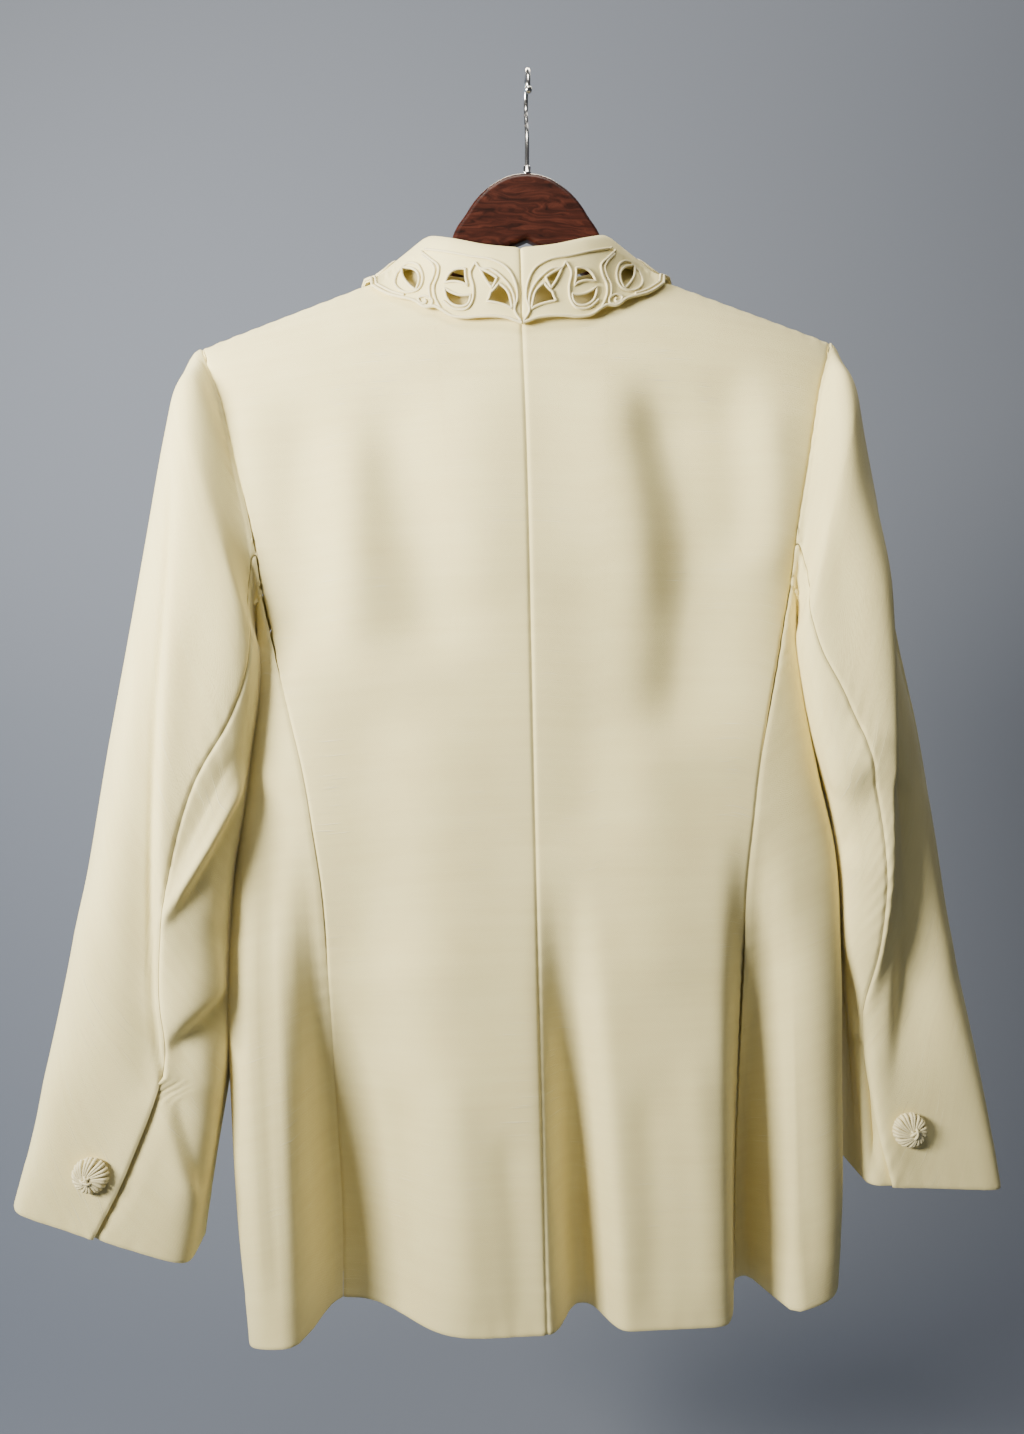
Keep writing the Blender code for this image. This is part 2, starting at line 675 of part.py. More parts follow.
def cutwork_holes():
    mirrored = [
        (2 * MOTIF_MIDDLE - along, below, long, wide, -turn, shape)
        for along, below, long, wide, turn, shape in CUTWORK
    ]
    return [hole_outline(*row) for row in (*CUTWORK, *mirrored, MIDDLE_LEAF)]


def inside(points, outline):
    x, y = points[:, 0], points[:, 1]
    found = np.zeros(len(points), bool)
    for (ax, ay), (bx, by) in zip(outline, np.roll(outline, -1, axis=0)):
        crosses = (ay > y) != (by > y)
        level = np.where(crosses, (y - ay) / np.where(by == ay, 1, by - ay), 0)
        found ^= crosses & (x < ax + level * (bx - ax))
    return found


def collar_layout():
    """Triangles of the flat collar half, with its cutwork openings left out."""
    left, right = HALF_GAP, COLLAR_LENGTH
    alongs = np.linspace(left, right, COLLAR_LONG_POINTS)
    stand = np.linspace(-COLLAR_STAND, 0, COLLAR_STAND_POINTS)[:-1]
    belows = np.concatenate([stand, np.linspace(0, COLLAR_FALL, COLLAR_FALL_POINTS)])
    border = [(a, belows[0]) for a in alongs] + [(right, b) for b in belows[1:]]
    border += [(a, belows[-1]) for a in alongs[-2::-1]] + [(left, b) for b in belows[-2:0:-1]]
    holes = cutwork_holes()
    grid = np.array([(a, b) for a in alongs[1:-1] for b in belows[1:-1]])
    for hole in holes:
        middle = hole.mean(axis=0)
        grown = middle + (hole - middle) * CUTWORK_MARGIN
        grid = grid[~inside(grid, grown)]
    loops = [np.array(border)] + holes
    points = np.concatenate(loops + [grid])
    edges, start = [], 0
    for loop in loops:
        n = len(loop)
        edges += [(start + i, start + (i + 1) % n) for i in range(n)]
        start += n
    made = delaunay_2d_cdt([Vector(p) for p in points], edges, [], 1, 1e-5)
    places = np.array([tuple(p) for p in made[0]])
    faces = np.array([tuple(f) for f in made[2]])
    middles = places[faces].mean(axis=1)
    kept = np.ones(len(faces), bool)
    for hole in holes:
        kept &= ~inside(middles, hole)
    return places, faces[kept]


def build_collar(home):
    places, faces = collar_layout()
    used = np.unique(faces)
    renumber = np.full(len(places), -1)
    renumber[used] = np.arange(len(used))
    places, faces = places[used], renumber[faces]
    along, below = places[:, 0], places[:, 1]
    for side, word in ((-1, "left"), (1, "right")):
        surface = collar_surface(side)
        outer = surface(along, below)
        after = np.clip(along + COLLAR_STEP, 0, COLLAR_LENGTH)
        before = np.clip(along - COLLAR_STEP, 0, COLLAR_LENGTH)
        low = np.clip(below + COLLAR_STEP, -COLLAR_STAND, COLLAR_FALL)
        high = np.clip(below - COLLAR_STEP, -COLLAR_STAND, COLLAR_FALL)
        run = surface(after, below) - surface(before, below)
        normal = np.cross(run, surface(along, low) - surface(along, high)) * -side
        normal /= np.linalg.norm(normal, axis=-1, keepdims=True)
        inner = outer - CLOTH * normal
        middle = along <= HALF_GAP
        inner[middle, 0] = side * HALF_GAP
        n = len(outer)
        sides = np.concatenate([faces[:, [0, 1]], faces[:, [1, 2]], faces[:, [2, 0]]])
        keys = {tuple(e) for e in sides}
        rim = [(a, b) for a, b in keys if (b, a) not in keys]
        around_rim = [(b, a, a + n, b + n) for a, b in rim]
        all_faces = [tuple(f) for f in faces] + [tuple(f[::-1] + n) for f in faces] + around_rim
        if side > 0:
            all_faces = [f[::-1] for f in all_faces]
        points = np.concatenate([outer, inner])
        mesh_object(f"collar_{word}", hang(points), all_faces, CREAM, home)


# Buttons


def button_profile():
    """Half the outline of a domed button, from its top down its outer side to the middle below."""
    points = [(0, BUTTON_HEIGHT)]
    for turn in BUTTON_DOME_TURNS:
        wide = BUTTON_RADIUS * math.sin(math.radians(turn))
        rise = (BUTTON_HEIGHT - BUTTON_RIM) * math.cos(math.radians(turn))
        points.append((wide, BUTTON_RIM + rise))
    points += [(BUTTON_RADIUS, BUTTON_RIM), (BUTTON_RADIUS - BUTTON_UNDERCUT, BUTTON_RIM - 1)]
    points += [(BUTTON_FOOT, BUTTON_RIM - BUTTON_UNDERCUT), (BUTTON_FOOT, 0), (0, 0)]
    return points


def add_button(name, place, normal, home):
    mesh = bpy.data.meshes.new(name)
    profile = [(x * MM, 0, z * MM) for x, z in button_profile()]
    mesh.from_pydata(profile, [(i, i + 1) for i in range(len(profile) - 1)], [])
    obj = add_object(name, mesh, CREAM_SATIN, home)
    turned = obj.modifiers.new("turned", "SCREW")
    turned.steps = BUTTON_STEPS
    turned.render_steps = BUTTON_STEPS
    turned.use_merge_vertices = True
    turned.merge_threshold = MERGE_DISTANCE
    obj.rotation_euler = Vector(normal).to_track_quat("Z", "Y").to_euler()
    obj.location = Vector(place) + Vector(normal) * BUTTON_CLEARANCE * MM


def surface_place(surface, x, drop, turns, stations):
    """The point and outward normal of a sleeve at the given x and drop on its back."""
    turn, t = np.meshgrid(turns, stations, indexing="ij")
    points = surface(turn, t)
    away = np.hypot(points[..., 0] - x, points[..., 2] + drop)
    i, j = np.unravel_index(np.argmin(away), away.shape)
    i, j = min(max(i, 1), len(turns) - 2), min(max(j, 1), len(stations) - 2)
    across = points[i + 1, j] - points[i - 1, j]
    down = points[i, j + 1] - points[i, j - 1]
    normal = np.cross(across, down)
    normal /= np.linalg.norm(normal)
    return points[i, j], normal if normal[1] < 0 else -normal


def build_buttons(home):
    lean = Matrix.Rotation(-HANG_ROLL, 3, "Y")
    sleeves = (
        (-1, "left", LEFT_SLEEVE, LEFT_CUFF_BUTTON),
        (1, "right", RIGHT_SLEEVE, RIGHT_CUFF_BUTTON),
    )
    turns = np.linspace(CUFF_MARGIN, math.pi - CUFF_MARGIN, CUFF_SEARCH)
    stations = np.linspace(*CUFF_RINGS, CUFF_SEARCH)
    for side, word, rows, (x, drop) in sleeves:
        surface = sleeve_surface(side, rows)[0]
        place, normal = surface_place(surface, x, drop, turns, stations)
        add_button(f"cuff_button_{word}", hang(place), lean @ Vector(normal), home)
    for number, drop in enumerate(FRONT_BUTTON_DROPS, 1):
        y = front_y(HALF_GAP, drop)
        slope = (front_y(HALF_GAP, drop + 1) - front_y(HALF_GAP, drop - 1)) / 2
        normal = Vector((0, 1, slope)).normalized()
        add_button(f"front_button_{number}", hang((0, y, -drop)), normal, home)


# Hanger


def build_hanger(home):
    right = list(HANGER_TOP) + list(HANGER_UNDER)
    left = [(-x, drop) for x, drop in right[::-1] if x > 0]
    curve = bpy.data.curves.new("hanger_body", "CURVE")
    curve.dimensions = "2D"
    curve.fill_mode = "BOTH"
    curve.extrude = (HANGER_THICKNESS / 2 - HANGER_EDGE_ROUND) * MM
    curve.bevel_depth = HANGER_EDGE_ROUND * MM
    curve.bevel_resolution = 1
    curve.offset = -HANGER_EDGE_ROUND * MM
    spline = curve.splines.new("POLY")
    outline = right + left
    spline.points.add(len(outline) - 1)
    for point, (x, drop) in zip(spline.points, outline):
        point.co = (x * MM, -drop * MM, 0, 1)
    spline.use_cyclic_u = True
    obj = add_object("hanger_body", curve, RED_WOOD, home)
    obj.rotation_euler = (math.pi / 2, 0, 0)


def hook_route():
    """Points (y, z, radius share) in mm from the ball tip over the bend and down to the hanger."""
    centre = -RAIL_RADIUS
    bend = []
    for turn in np.arange(HOOK_START_TURN, HOOK_END_TURN + 1, HOOK_STEP_TURN):
        angle = math.radians(180 - turn)
        bend.append((HOOK_RADIUS * math.cos(angle), centre + HOOK_RADIUS * math.sin(angle), 1.0))
    y, z, _ = bend[0]
    down = Vector((y - bend[1][0], z - bend[1][1])).normalized()
    ball = []
    for i in range(BALL_RINGS + 1):
        turn = math.pi * (BALL_START + (1 - BALL_START) * i / BALL_RINGS)
        along = BALL_RADIUS * (math.cos(math.pi * BALL_START) - math.cos(turn)) + BALL_CLEARANCE
        share = max(BALL_RADIUS * math.sin(turn) / WIRE_RADIUS, LEAST_SHARE)
        ball.append((y + down.x * along, z + down.y * along, share))
    stem = [(y, -drop, 1.0) for y, drop in HOOK_STEM]
    return ball[::-1] + bend + stem


def build_hook(home):
    curve = bpy.data.curves.new("hanger_hook", "CURVE")
    curve.dimensions = "3D"
    curve.bevel_depth = WIRE_RADIUS * MM
    curve.bevel_resolution = 2
    curve.use_fill_caps = True
    spline = curve.splines.new("POLY")
    route = hook_route()
    spline.points.add(len(route) - 1)
    for point, (y, z, share) in zip(spline.points, route):
        point.co = (0, y * MM, z * MM, 1)
        point.radius = share
    add_object("hanger_hook", curve, STEEL, home)


def main():
    for obj in list(bpy.data.objects):
        bpy.data.objects.remove(obj)
    home = bpy.data.collections.new(COLLECTION)
    bpy.context.scene.collection.children.link(home)
    build_body(home)
    build_sleeves(home)
    build_collar(home)
    build_buttons(home)
    build_hanger(home)
    build_hook(home)


main()
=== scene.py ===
"""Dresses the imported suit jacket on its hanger: fine cloth, cutwork cords, corded buttons and wood.

Sizes are in millimetres unless a name says otherwise. x and drop are measured in the jacket's own
frame, drop being the distance below the top of the hook; hang() takes them to the row's frame.
"""

import json
import math

import bpy
import numpy as np
from mathutils import Matrix, Vector
from mathutils.geometry import delaunay_2d_cdt

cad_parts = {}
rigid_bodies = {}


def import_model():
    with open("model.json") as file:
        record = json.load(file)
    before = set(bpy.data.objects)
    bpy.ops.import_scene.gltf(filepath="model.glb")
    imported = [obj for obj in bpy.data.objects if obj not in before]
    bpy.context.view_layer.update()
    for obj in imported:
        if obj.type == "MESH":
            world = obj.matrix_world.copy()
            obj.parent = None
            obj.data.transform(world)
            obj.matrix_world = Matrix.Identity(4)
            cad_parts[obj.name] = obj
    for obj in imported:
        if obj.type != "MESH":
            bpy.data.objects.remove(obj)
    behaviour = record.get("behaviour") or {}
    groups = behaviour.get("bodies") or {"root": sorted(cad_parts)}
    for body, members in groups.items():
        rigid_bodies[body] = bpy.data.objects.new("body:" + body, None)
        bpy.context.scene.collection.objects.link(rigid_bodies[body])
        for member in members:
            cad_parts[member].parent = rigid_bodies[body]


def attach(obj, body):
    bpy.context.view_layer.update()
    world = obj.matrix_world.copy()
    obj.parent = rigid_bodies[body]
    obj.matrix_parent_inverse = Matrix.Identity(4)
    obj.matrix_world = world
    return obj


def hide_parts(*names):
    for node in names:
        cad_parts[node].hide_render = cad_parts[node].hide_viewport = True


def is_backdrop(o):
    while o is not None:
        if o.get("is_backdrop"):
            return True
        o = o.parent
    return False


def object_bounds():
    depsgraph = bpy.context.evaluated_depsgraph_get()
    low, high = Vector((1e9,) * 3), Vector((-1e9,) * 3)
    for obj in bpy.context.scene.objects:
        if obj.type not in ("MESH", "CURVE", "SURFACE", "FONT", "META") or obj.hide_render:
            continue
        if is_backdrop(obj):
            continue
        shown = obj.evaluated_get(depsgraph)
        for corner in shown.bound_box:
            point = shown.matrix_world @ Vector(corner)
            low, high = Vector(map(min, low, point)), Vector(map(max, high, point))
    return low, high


MM = 0.001
BODY = "root"

# Cloth and seams
CLOTH = 1.2
SEAM_GAP = 0.1
HALF_GAP = SEAM_GAP / 2
SHOULDER_GAP = 0.05

# The jacket hangs a little to the left of the hook and leans
HANG_SHIFT = -9.5
HANG_ROLL = math.radians(1.4)

# Shoulders and neck
NECK_HALF = 62
NECK_SIDE_DROP = 126
SHOULDER_SLOPE = 0.376
SHOULDER_HALF = 212
BACK_NECK_DROP = 147
FRONT_NECK_DROP = 208
SHOULDER_SOFTNESS = 45
SHOULDER_ROUND = 0.75
LEAST_FALL = 0.02

# Sections of the body: half widths to the left and right, depth to the back and to the front
BODY_COLUMNS = ("drop", "left", "right", "back", "front")
BODY_LEVELS = (
    (100, 222, 222, 26, 24),
    (180, 216, 216, 39, 37),
    (250, 206, 206, 50, 52),
    (310, 193, 193, 53, 64),
    (340, 184, 184, 52, 68),
    (370, 178, 179, 50, 70),
    (410, 179.5, 183, 48, 69),
    (440, 182.5, 186.5, 46, 68),
    (480, 188, 192.5, 44, 64),
    (520, 194.5, 201, 43, 60),
    (600, 202.5, 204, 44, 57),
    (680, 201.8, 202.3, 45, 58),
    (760, 199, 200.8, 45, 60),
    (830, 194, 195.5, 44, 62),
    (900, 192, 193, 44, 62),
)
BODY_SQUARENESS = 5
WIDEST_SHARE = 0.9995
BACK_HEM_DROP = 828
FRONT_HEM_DROP = 846
# How much lower the hem of each side panel hangs half way round than at its seams
LEFT_SIDE_DIP = 11
RIGHT_SIDE_DIP = -15
BACK_NECK_SHARE = 0.34
FRONT_NECK_SHARE = 0.42

# Outer seam line of the back and front panels on each half: drop and x
BACK_EDGE = (
    (182.5, 212), (194, 208), (215, 199), (250, 189), (277, 183), (303, 177.5), (328, 173.5),
    (352, 171), (388, 163.5), (434, 153.5), (463, 147.5), (502, 142), (538, 138), (600, 136),
    (700, 135), (770, 134.5), (830, 136),
)
FRONT_EDGE = (
    (182.5, 212), (194, 207.5), (210, 199), (235, 187.5), (265, 177), (300, 168.5), (330, 164),
    (352, 162), (388, 154), (434, 146.5), (520, 138), (620, 138), (720, 142), (850, 145),
)
SHOULDER_TIP_DROP = 182.54
ARMHOLE_FOOT_DROP = 352
UNDERARM_DROP = 376
UNDERARM_ROUND = 0.8
ARMHOLE_DROPS = (*np.linspace(SHOULDER_TIP_DROP, 200, 8), *np.linspace(206, ARMHOLE_FOOT_DROP, 26))
UNDERARM_POINTS = 25

# Folds that run down to the hem: x at the hem, x and drop at the top, depth, and the widths
# towards the middle and the side. Those of the fronts are the same on both halves
BACK_FOLDS = (
    (-135, -140, 500, 58, 52, 17),
    (26, 16, 520, 38, 15, 15),
    (140, 141, 500, 60, 15, 14),
)
FRONT_FOLDS = (
    (112, 96, 480, 16, 30, 24),
    (54, 50, 560, 8, 18, 18),
)
FOLD_SQUARENESS = 2.6
FOLD_GROWTH = 0.8
LONGEST_FALL = 1.05

# Rings of the sleeves from the armhole to the cuff: the outer and inner ends of each ring,
# its reach to the back and front, its slant, and where the elbow seam crosses it
SLEEVE_COLUMNS = (
    "outer x", "outer drop", "inner x", "inner drop", "back", "front", "slant", "seam",
)
LEFT_SLEEVE = (
    (213, 182, 175, 375, 46, 52, 4, 0.12),
    (222.5, 192, 178, 381, 51, 56, 6, 0.14),
    (239, 245, 175.2, 396, 56, 57, 12, 0.17),
    (255.3, 310, 176.5, 424, 58, 53, 16, 0.2),
    (269.7, 376, 180.5, 454, 58, 46, 16, 0.26),
    (284.3, 448, 185.5, 492, 58, 40, 14, 0.4),
    (296.3, 518, 193.5, 536, 57, 32, 12, 0.44),
    (305.6, 582, 198, 590, 54, 24, 8, 0.42),
    (317.1, 641, 200, 650, 50, 16, 5, 0.345),
    (328.6, 697, 212, 717, 46, 9, 3, 0.42),
    (335.5, 735, 224, 775, 43, 4, 0, 0.52),
)
RIGHT_SLEEVE = (
    (213, 182, 175, 375, 46, 52, 4, 0.12),
    (220, 194, 178.5, 381, 51, 56, 6, 0.17),
    (232, 249, 176.8, 396, 56, 57, 12, 0.21),
    (246, 315, 180.8, 428, 56, 54, 15, 0.27),
    (257, 380, 186.5, 460, 54, 50, 15, 0.38),
    (270, 446, 196, 498, 47, 50, 13, 0.44),
    (279.5, 515, 202.5, 542, 38, 50, 11, 0.43),
    (286, 582, 205, 590, 31, 48, 8, 0.32),
    (295, 646, 210, 645, 27, 45, 4, 0.13),
    (303, 706, 213.5, 700, 26, 42, 2, 0.17),
    (307, 756, 215, 749, 27, 40, 0, 0.22),
)
LAST_RING = len(LEFT_SLEEVE) - 1.0
SLEEVE_SQUARENESS = 3.2
CUFF_SQUARENESS = 8
CUFF_SQUARE_FROM = 7.5
FRONT_SLEEVE_SEAM = 0.2
SEAM_LIMIT = 0.98
CAP_RINGS = 1.6
CAP_LIFT = 1.3
CAP_TUCK = 0.7
CAP_LIFT_RINGS = 0.3
SLEEVE_GAP_TURN = 0.004
# The vent at the cuff: the ring where it starts, the rings over which the under sleeve slides
# under and the flap lifts, and how far from the slit each is bent
VENT_RING = 8.1
VENT_SLIDE_RINGS = 0.25
VENT_LIFT_RINGS = 0.3
VENT_UNDERLAP = 0.34
VENT_DEPTH = 3.4
VENT_REACH = 34
VENT_SOFTNESS = 26
FLAP_RISE = 1.5
FLAP_REACH = 14
# A gain that keeps a sleeve's creases whole until it has turned well away from the back
FACING_GAIN = 1.6

# Creases: height of each, its widths towards the left and right, and the points (x, drop) that it
# runs down through. A negative height is a trough
BACK_CREASES = (
    (-6.0, 24, 28, ((-133, 208), (-145, 282), (-147, 333), (-138, 410))),
    (3.0, 18, 18, ((-108, 236), (-112, 320), (-117, 400))),
    (-6.0, 26, 26, ((-92, 210), (-80, 283), (-70, 333), (-66, 410))),
    (3.0, 30, 30, ((-26, 200), (-29, 283), (-33, 370))),
    (-11.5, 26, 44, ((84, 196), (92, 254), (102, 300), (105, 350), (100, 400), (94, 470))),
    (3.0, 26, 20, ((58, 204), (66, 290), (70, 380))),
    (-3.6, 20, 18, ((134, 198), (139, 263), (142, 346))),
    (2.4, 18, 14, ((156, 230), (158, 300), (153, 360))),
    (-3.0, 30, 34, ((-98, 400), (-104, 500), (-100, 610))),
    (2.6, 36, 36, ((-60, 410), (-66, 520), (-64, 640))),
    (2.6, 30, 30, ((60, 430), (72, 520), (78, 630))),
    (-3.0, 28, 30, ((34, 320), (40, 430), (34, 530))),
    (-2.2, 10, 12, ((-92, 660), (-88, 740), (-90, 838))),
    (2.0, 16, 14, ((-58, 650), (-52, 750), (-50, 838))),
    (-1.7, 10, 12, ((-24, 690), (-18, 770), (-16, 838))),
    (-1.7, 12, 12, ((66, 660), (70, 750), (68, 838))),
    (2.0, 12, 12, ((98, 640), (104, 740), (106, 838))),
)
SIDE_CREASES = (
    (-2.6, 8, 8, ((-166, 470), (-170, 560), (-172, 660), (-170, 838))),
    (2.1, 7, 7, ((-181, 520), (-184, 620), (-180, 838))),
    (2.8, 12, 9, ((138, 540), (141, 640), (144, 740), (147, 838))),
    (-6.2, 11, 15, ((157, 540), (160, 640), (164, 740), (167, 838))),
)
FRONT_CREASES = (
    (-2.2, 14, 14, ((-120, 240), (-128, 300), (-120, 380))),
    (1.6, 16, 16, ((-84, 260), (-92, 340), (-88, 430))),
    (-1.8, 16, 16, ((-54, 300), (-50, 400), (-58, 500))),
    (-2.4, 12, 16, ((112, 230), (120, 300), (112, 390))),
    (1.6, 16, 16, ((74, 250), (82, 330), (76, 430))),
    (-1.6, 16, 14, ((48, 330), (44, 430), (52, 520))),
    (-1.6, 12, 12, ((-86, 640), (-82, 740), (-84, 850))),
    (1.4, 14, 14, ((22, 600), (26, 720), (24, 850))),
    (-1.6, 12, 12, ((78, 620), (84, 730), (82, 850))),
)
LEFT_VALLEY = (
    (-225, 290), (-230, 350), (-235, 420), (-239, 500), (-241, 560), (-241, 610), (-238, 648),
    (-229, 690), (-219, 740),
)
LEFT_SLEEVE_CREASES = (
    (-3.8, 16, 5, ((-222, 250), *LEFT_VALLEY)),
    (-1.7, 1.9, 1.9, ((-220, 226), *LEFT_VALLEY)),
    (2.4, 5, 12, ((-220, 340), (-228, 430), (-231, 500), (-232, 560), (-232, 605))),
    (4.4, 3.8, 3.4, ((-176, 452), (-200, 503), (-224, 542), (-238, 562))),
    (-2.0, 9, 4, ((-184, 446), (-209, 494), (-234, 540))),
    (-3.0, 4, 20, ((-180, 476), (-203, 518), (-221, 548))),
    (4.2, 22, 7, ((-184, 588), (-208, 604), (-236, 628))),
    (-4.4, 5, 18, ((-188, 604), (-212, 620), (-238, 644))),
    (2.6, 10, 4, ((-238, 628), (-231, 690), (-217, 748))),
    (-2.4, 4, 12, ((-234, 632), (-222, 700), (-208, 752))),
    (-2.2, 14, 14, ((-272, 380), (-284, 470), (-296, 570))),
    (1.8, 16, 16, ((-290, 520), (-304, 600), (-316, 690))),
)
RIGHT_SLEEVE_CREASES = (
    (8.0, 24, 5.5, (
        (222, 280), (226, 350), (228, 420), (230, 495), (230, 545), (225, 592), (214, 650),
    )),
    (-10.0, 8, 26, (
        (235, 290), (239, 370), (242, 440), (246, 510), (247, 570), (244, 630), (236, 700),
    )),
    (-4.6, 16, 24, ((226, 470), (214, 502), (198, 532))),
    (2.6, 18, 12, ((218, 440), (206, 470), (194, 492))),
    (-6.5, 10, 6, ((204, 590), (208, 640), (214, 690), (222, 752))),
    (1.8, 14, 14, ((268, 470), (276, 540), (284, 620))),
)
CREASE_TAPER = 0.22
CREASE_STEP = 14

# Each half's side and name, and its sleeve's rings and creases
HALVES = ((-1, "left"), (1, "right"))
SLEEVES = (
    (-1, "left", LEFT_SLEEVE, LEFT_SLEEVE_CREASES),
    (1, "right", RIGHT_SLEEVE, RIGHT_SLEEVE_CREASES),
)

# Small waves along the seams: their height, length and reach from the seam, how far and over what
# length they wander, and the lengths and starts of two waves that make them uneven
PUCKER_HEIGHT = 0.34
PUCKER_LENGTH = 13
PUCKER_REACH = 11
PUCKER_WANDER = 1.7
PUCKER_WANDER_LENGTH = 31
PUCKER_PATCHES = ((23, 1.1), (57, 0.4))
SEAM_DIP = 0.8
SEAM_ROLL = 1.2
HEM_ROLL = 2.2
HEM_DEPTH = 34
HEM_SWELL = 0.5
HEM_PRINT = 0.25
HEM_PRINT_SOFTNESS = 6
HEM_PUCKER = 0.5
HEM_STEP = 4

# Grids of points on the panels: across and along, each a count of points and a length in mm.
# Besides them, rows lie close to each edge at the distances of CLOSE_ROWS
BACK_GRID = ((74, 150), (150, 650))
FRONT_GRID = ((60, 150), (130, 650))
SIDE_GRID = ((60, 110), (120, 460))
TOP_SLEEVE_GRID = ((124, 150), (170, 600))
UNDER_SLEEVE_GRID = ((84, 90), (170, 600))
CLOSE_ROWS = (0, 0.5, 1.0, 1.7, 2.6, 4.0, 6.0)
# Turn of the weave on the side panels, in radians
SIDE_GRAIN = 0.2
# The edge of a grid that is the hem, in edge_distance's order
FIRST_ROW, LAST_ROW = 2, 3
SHARP_ANGLE = math.radians(75)
TINY = 1e-9


def column(table, names, name):
    return np.array([row[names.index(name)] for row in table], float)


def smooth(x, xs, ys):
    """A smooth curve through the points (xs, ys), read at x."""
    x = np.clip(np.asarray(x, float), xs[0], xs[-1])
    slopes = np.gradient(ys, xs)
    i = np.clip(np.searchsorted(xs, x) - 1, 0, len(xs) - 2)
    step = xs[i + 1] - xs[i]
    t = (x - xs[i]) / step
    rise = (2 * t**3 - 3 * t**2 + 1) * ys[i] + (3 * t**2 - 2 * t**3) * ys[i + 1]
    bend = (t**3 - 2 * t**2 + t) * slopes[i] + (t**3 - t**2) * slopes[i + 1]
    return rise + bend * step


def curve_at(table, x):
    """A smooth curve through a table's points, read at x."""
    return smooth(x, *np.array(table, float).T)


def level(name, drop):
    """A measure of the body's section at a drop."""
    drops, values = (column(BODY_LEVELS, BODY_COLUMNS, word) for word in ("drop", name))
    return smooth(drop, drops, values)


def ease(t):
    t = np.clip(t, 0, 1)
    return t * t * (3 - 2 * t)


def unit(vectors):
    length = np.linalg.norm(vectors, axis=-1, keepdims=True)
    return vectors / np.maximum(length, TINY)


def bow(a, b, c, t):
    """A curve from a to c that bends towards b."""
    return (1 - t) ** 2 * a + 2 * t * (1 - t) * b + t**2 * c


def distances(path):
    """How far along a path each of its points lies."""
    steps = np.linalg.norm(np.diff(path, axis=0), axis=1)
    return np.concatenate([[0], np.cumsum(steps)])


def squared_reach(sin, cos, power):
    """How far a squared-off ring of half width 1 reaches at a turn."""
    return (np.abs(sin) ** power + np.abs(cos) ** power) ** (-1 / power)


def stack(x, y, drop):
    return np.stack(np.broadcast_arrays(x, y, -np.asarray(drop, float)), axis=-1)


def hang(points):
    """From the jacket's own frame in mm to the row's frame in metres."""
    cos, sin = math.cos(HANG_ROLL), math.sin(HANG_ROLL)
    x, y, z = np.moveaxis(np.asarray(points, float), -1, 0)
    return np.stack([x * cos - z * sin + HANG_SHIFT, y, x * sin + z * cos], axis=-1) * MM


# Body surface


def shoulder_line(x):
    return NECK_SIDE_DROP + SHOULDER_SLOPE * (np.abs(x) - NECK_HALF)


def overhang(x, drop):
    """How far the cloth has fallen away from the shoulder line, from 0 on it to 1 well below."""
    below = np.maximum(drop - shoulder_line(x), LEAST_FALL)
    return (1 - np.exp(-below / SHOULDER_SOFTNESS)) ** SHOULDER_ROUND


def half_width(side, drop):
    return np.where(np.asarray(side) < 0, level("left", drop), level("right", drop))


def fold_depth(x, drop, folds, hem_drop):
    """Sum of the folds' depths at a place, each growing from its top to the hem."""
    total = 0
    for hem_x, top_x, top_drop, depth, inner, outer in folds:
        fall = np.clip((drop - top_drop) / (hem_drop - top_drop), 0, LONGEST_FALL)
        middle = top_x + (hem_x - top_x) * fall
        away = (x - middle) * (1 if hem_x > 0 else -1)
        width = np.where(away < 0, inner, outer)
        shape = np.exp(-((np.abs(away) / width) ** FOLD_SQUARENESS))
        total = total + depth * shape * ease(fall) ** FOLD_GROWTH
    return total


def section_depth(across):
    """Share of the depth left at a share of the half width, from 1 in the middle to 0."""
    return (1 - across**BODY_SQUARENESS) ** (1 / BODY_SQUARENESS)


def bulge(x, drop):
    across = np.clip(np.abs(x) / half_width(x, drop), 0, WIDEST_SHARE)
    return section_depth(across) * overhang(x, drop)


def back_y(x, drop):
    return fold_depth(x, drop, BACK_FOLDS, BACK_HEM_DROP) - level("back", drop) * bulge(x, drop)


def front_y(x, drop):
    folds = fold_depth(np.abs(x), drop, FRONT_FOLDS, FRONT_HEM_DROP)
    return level("front", drop) * bulge(x, drop) - folds


def turn_at(edge_x, side, drop):
    """The turn around the section, from 0 at the middle, at which it is edge_x wide."""
    across = edge_x / half_width(side, drop)
    return np.arctan2(across, section_depth(across))


def around(side, turn, drop):
    """A point of the body's section, with turn from 0 at the back to pi at the front."""
    sin, cos = np.sin(turn), np.cos(turn)
    reach = squared_reach(sin, cos, BODY_SQUARENESS)
    x = side * half_width(side, drop) * sin * reach
    on_back = cos > 0
    depth = np.where(on_back, level("back", drop), level("front", drop))
    folds = fold_depth(x, drop, BACK_FOLDS, BACK_HEM_DROP)
    front_folds = fold_depth(np.abs(x), drop, FRONT_FOLDS, FRONT_HEM_DROP)
    y = -cos * reach * depth * overhang(x, drop) + np.where(on_back, folds, -front_folds)
    return stack(x, y, drop)


def coons(bottom, top, inner, outer, u, v):
    """A flat patch between four lines, each a function of one number giving (x, drop)."""
    b, t, i, o = bottom(u), top(u), inner(v), outer(v)
    corners = [f(np.array(e, float)) for f, e in ((bottom, 0), (bottom, 1), (top, 0), (top, 1))]
    made = []
    for k in range(2):
        ruled = (1 - v) * b[k] + v * t[k] + (1 - u) * i[k] + u * o[k]
        low = (1 - u) * corners[0][k] + u * corners[1][k]
        high = (1 - u) * corners[2][k] + u * corners[3][k]
        made.append(ruled - (1 - v) * low - v * high)
    return made


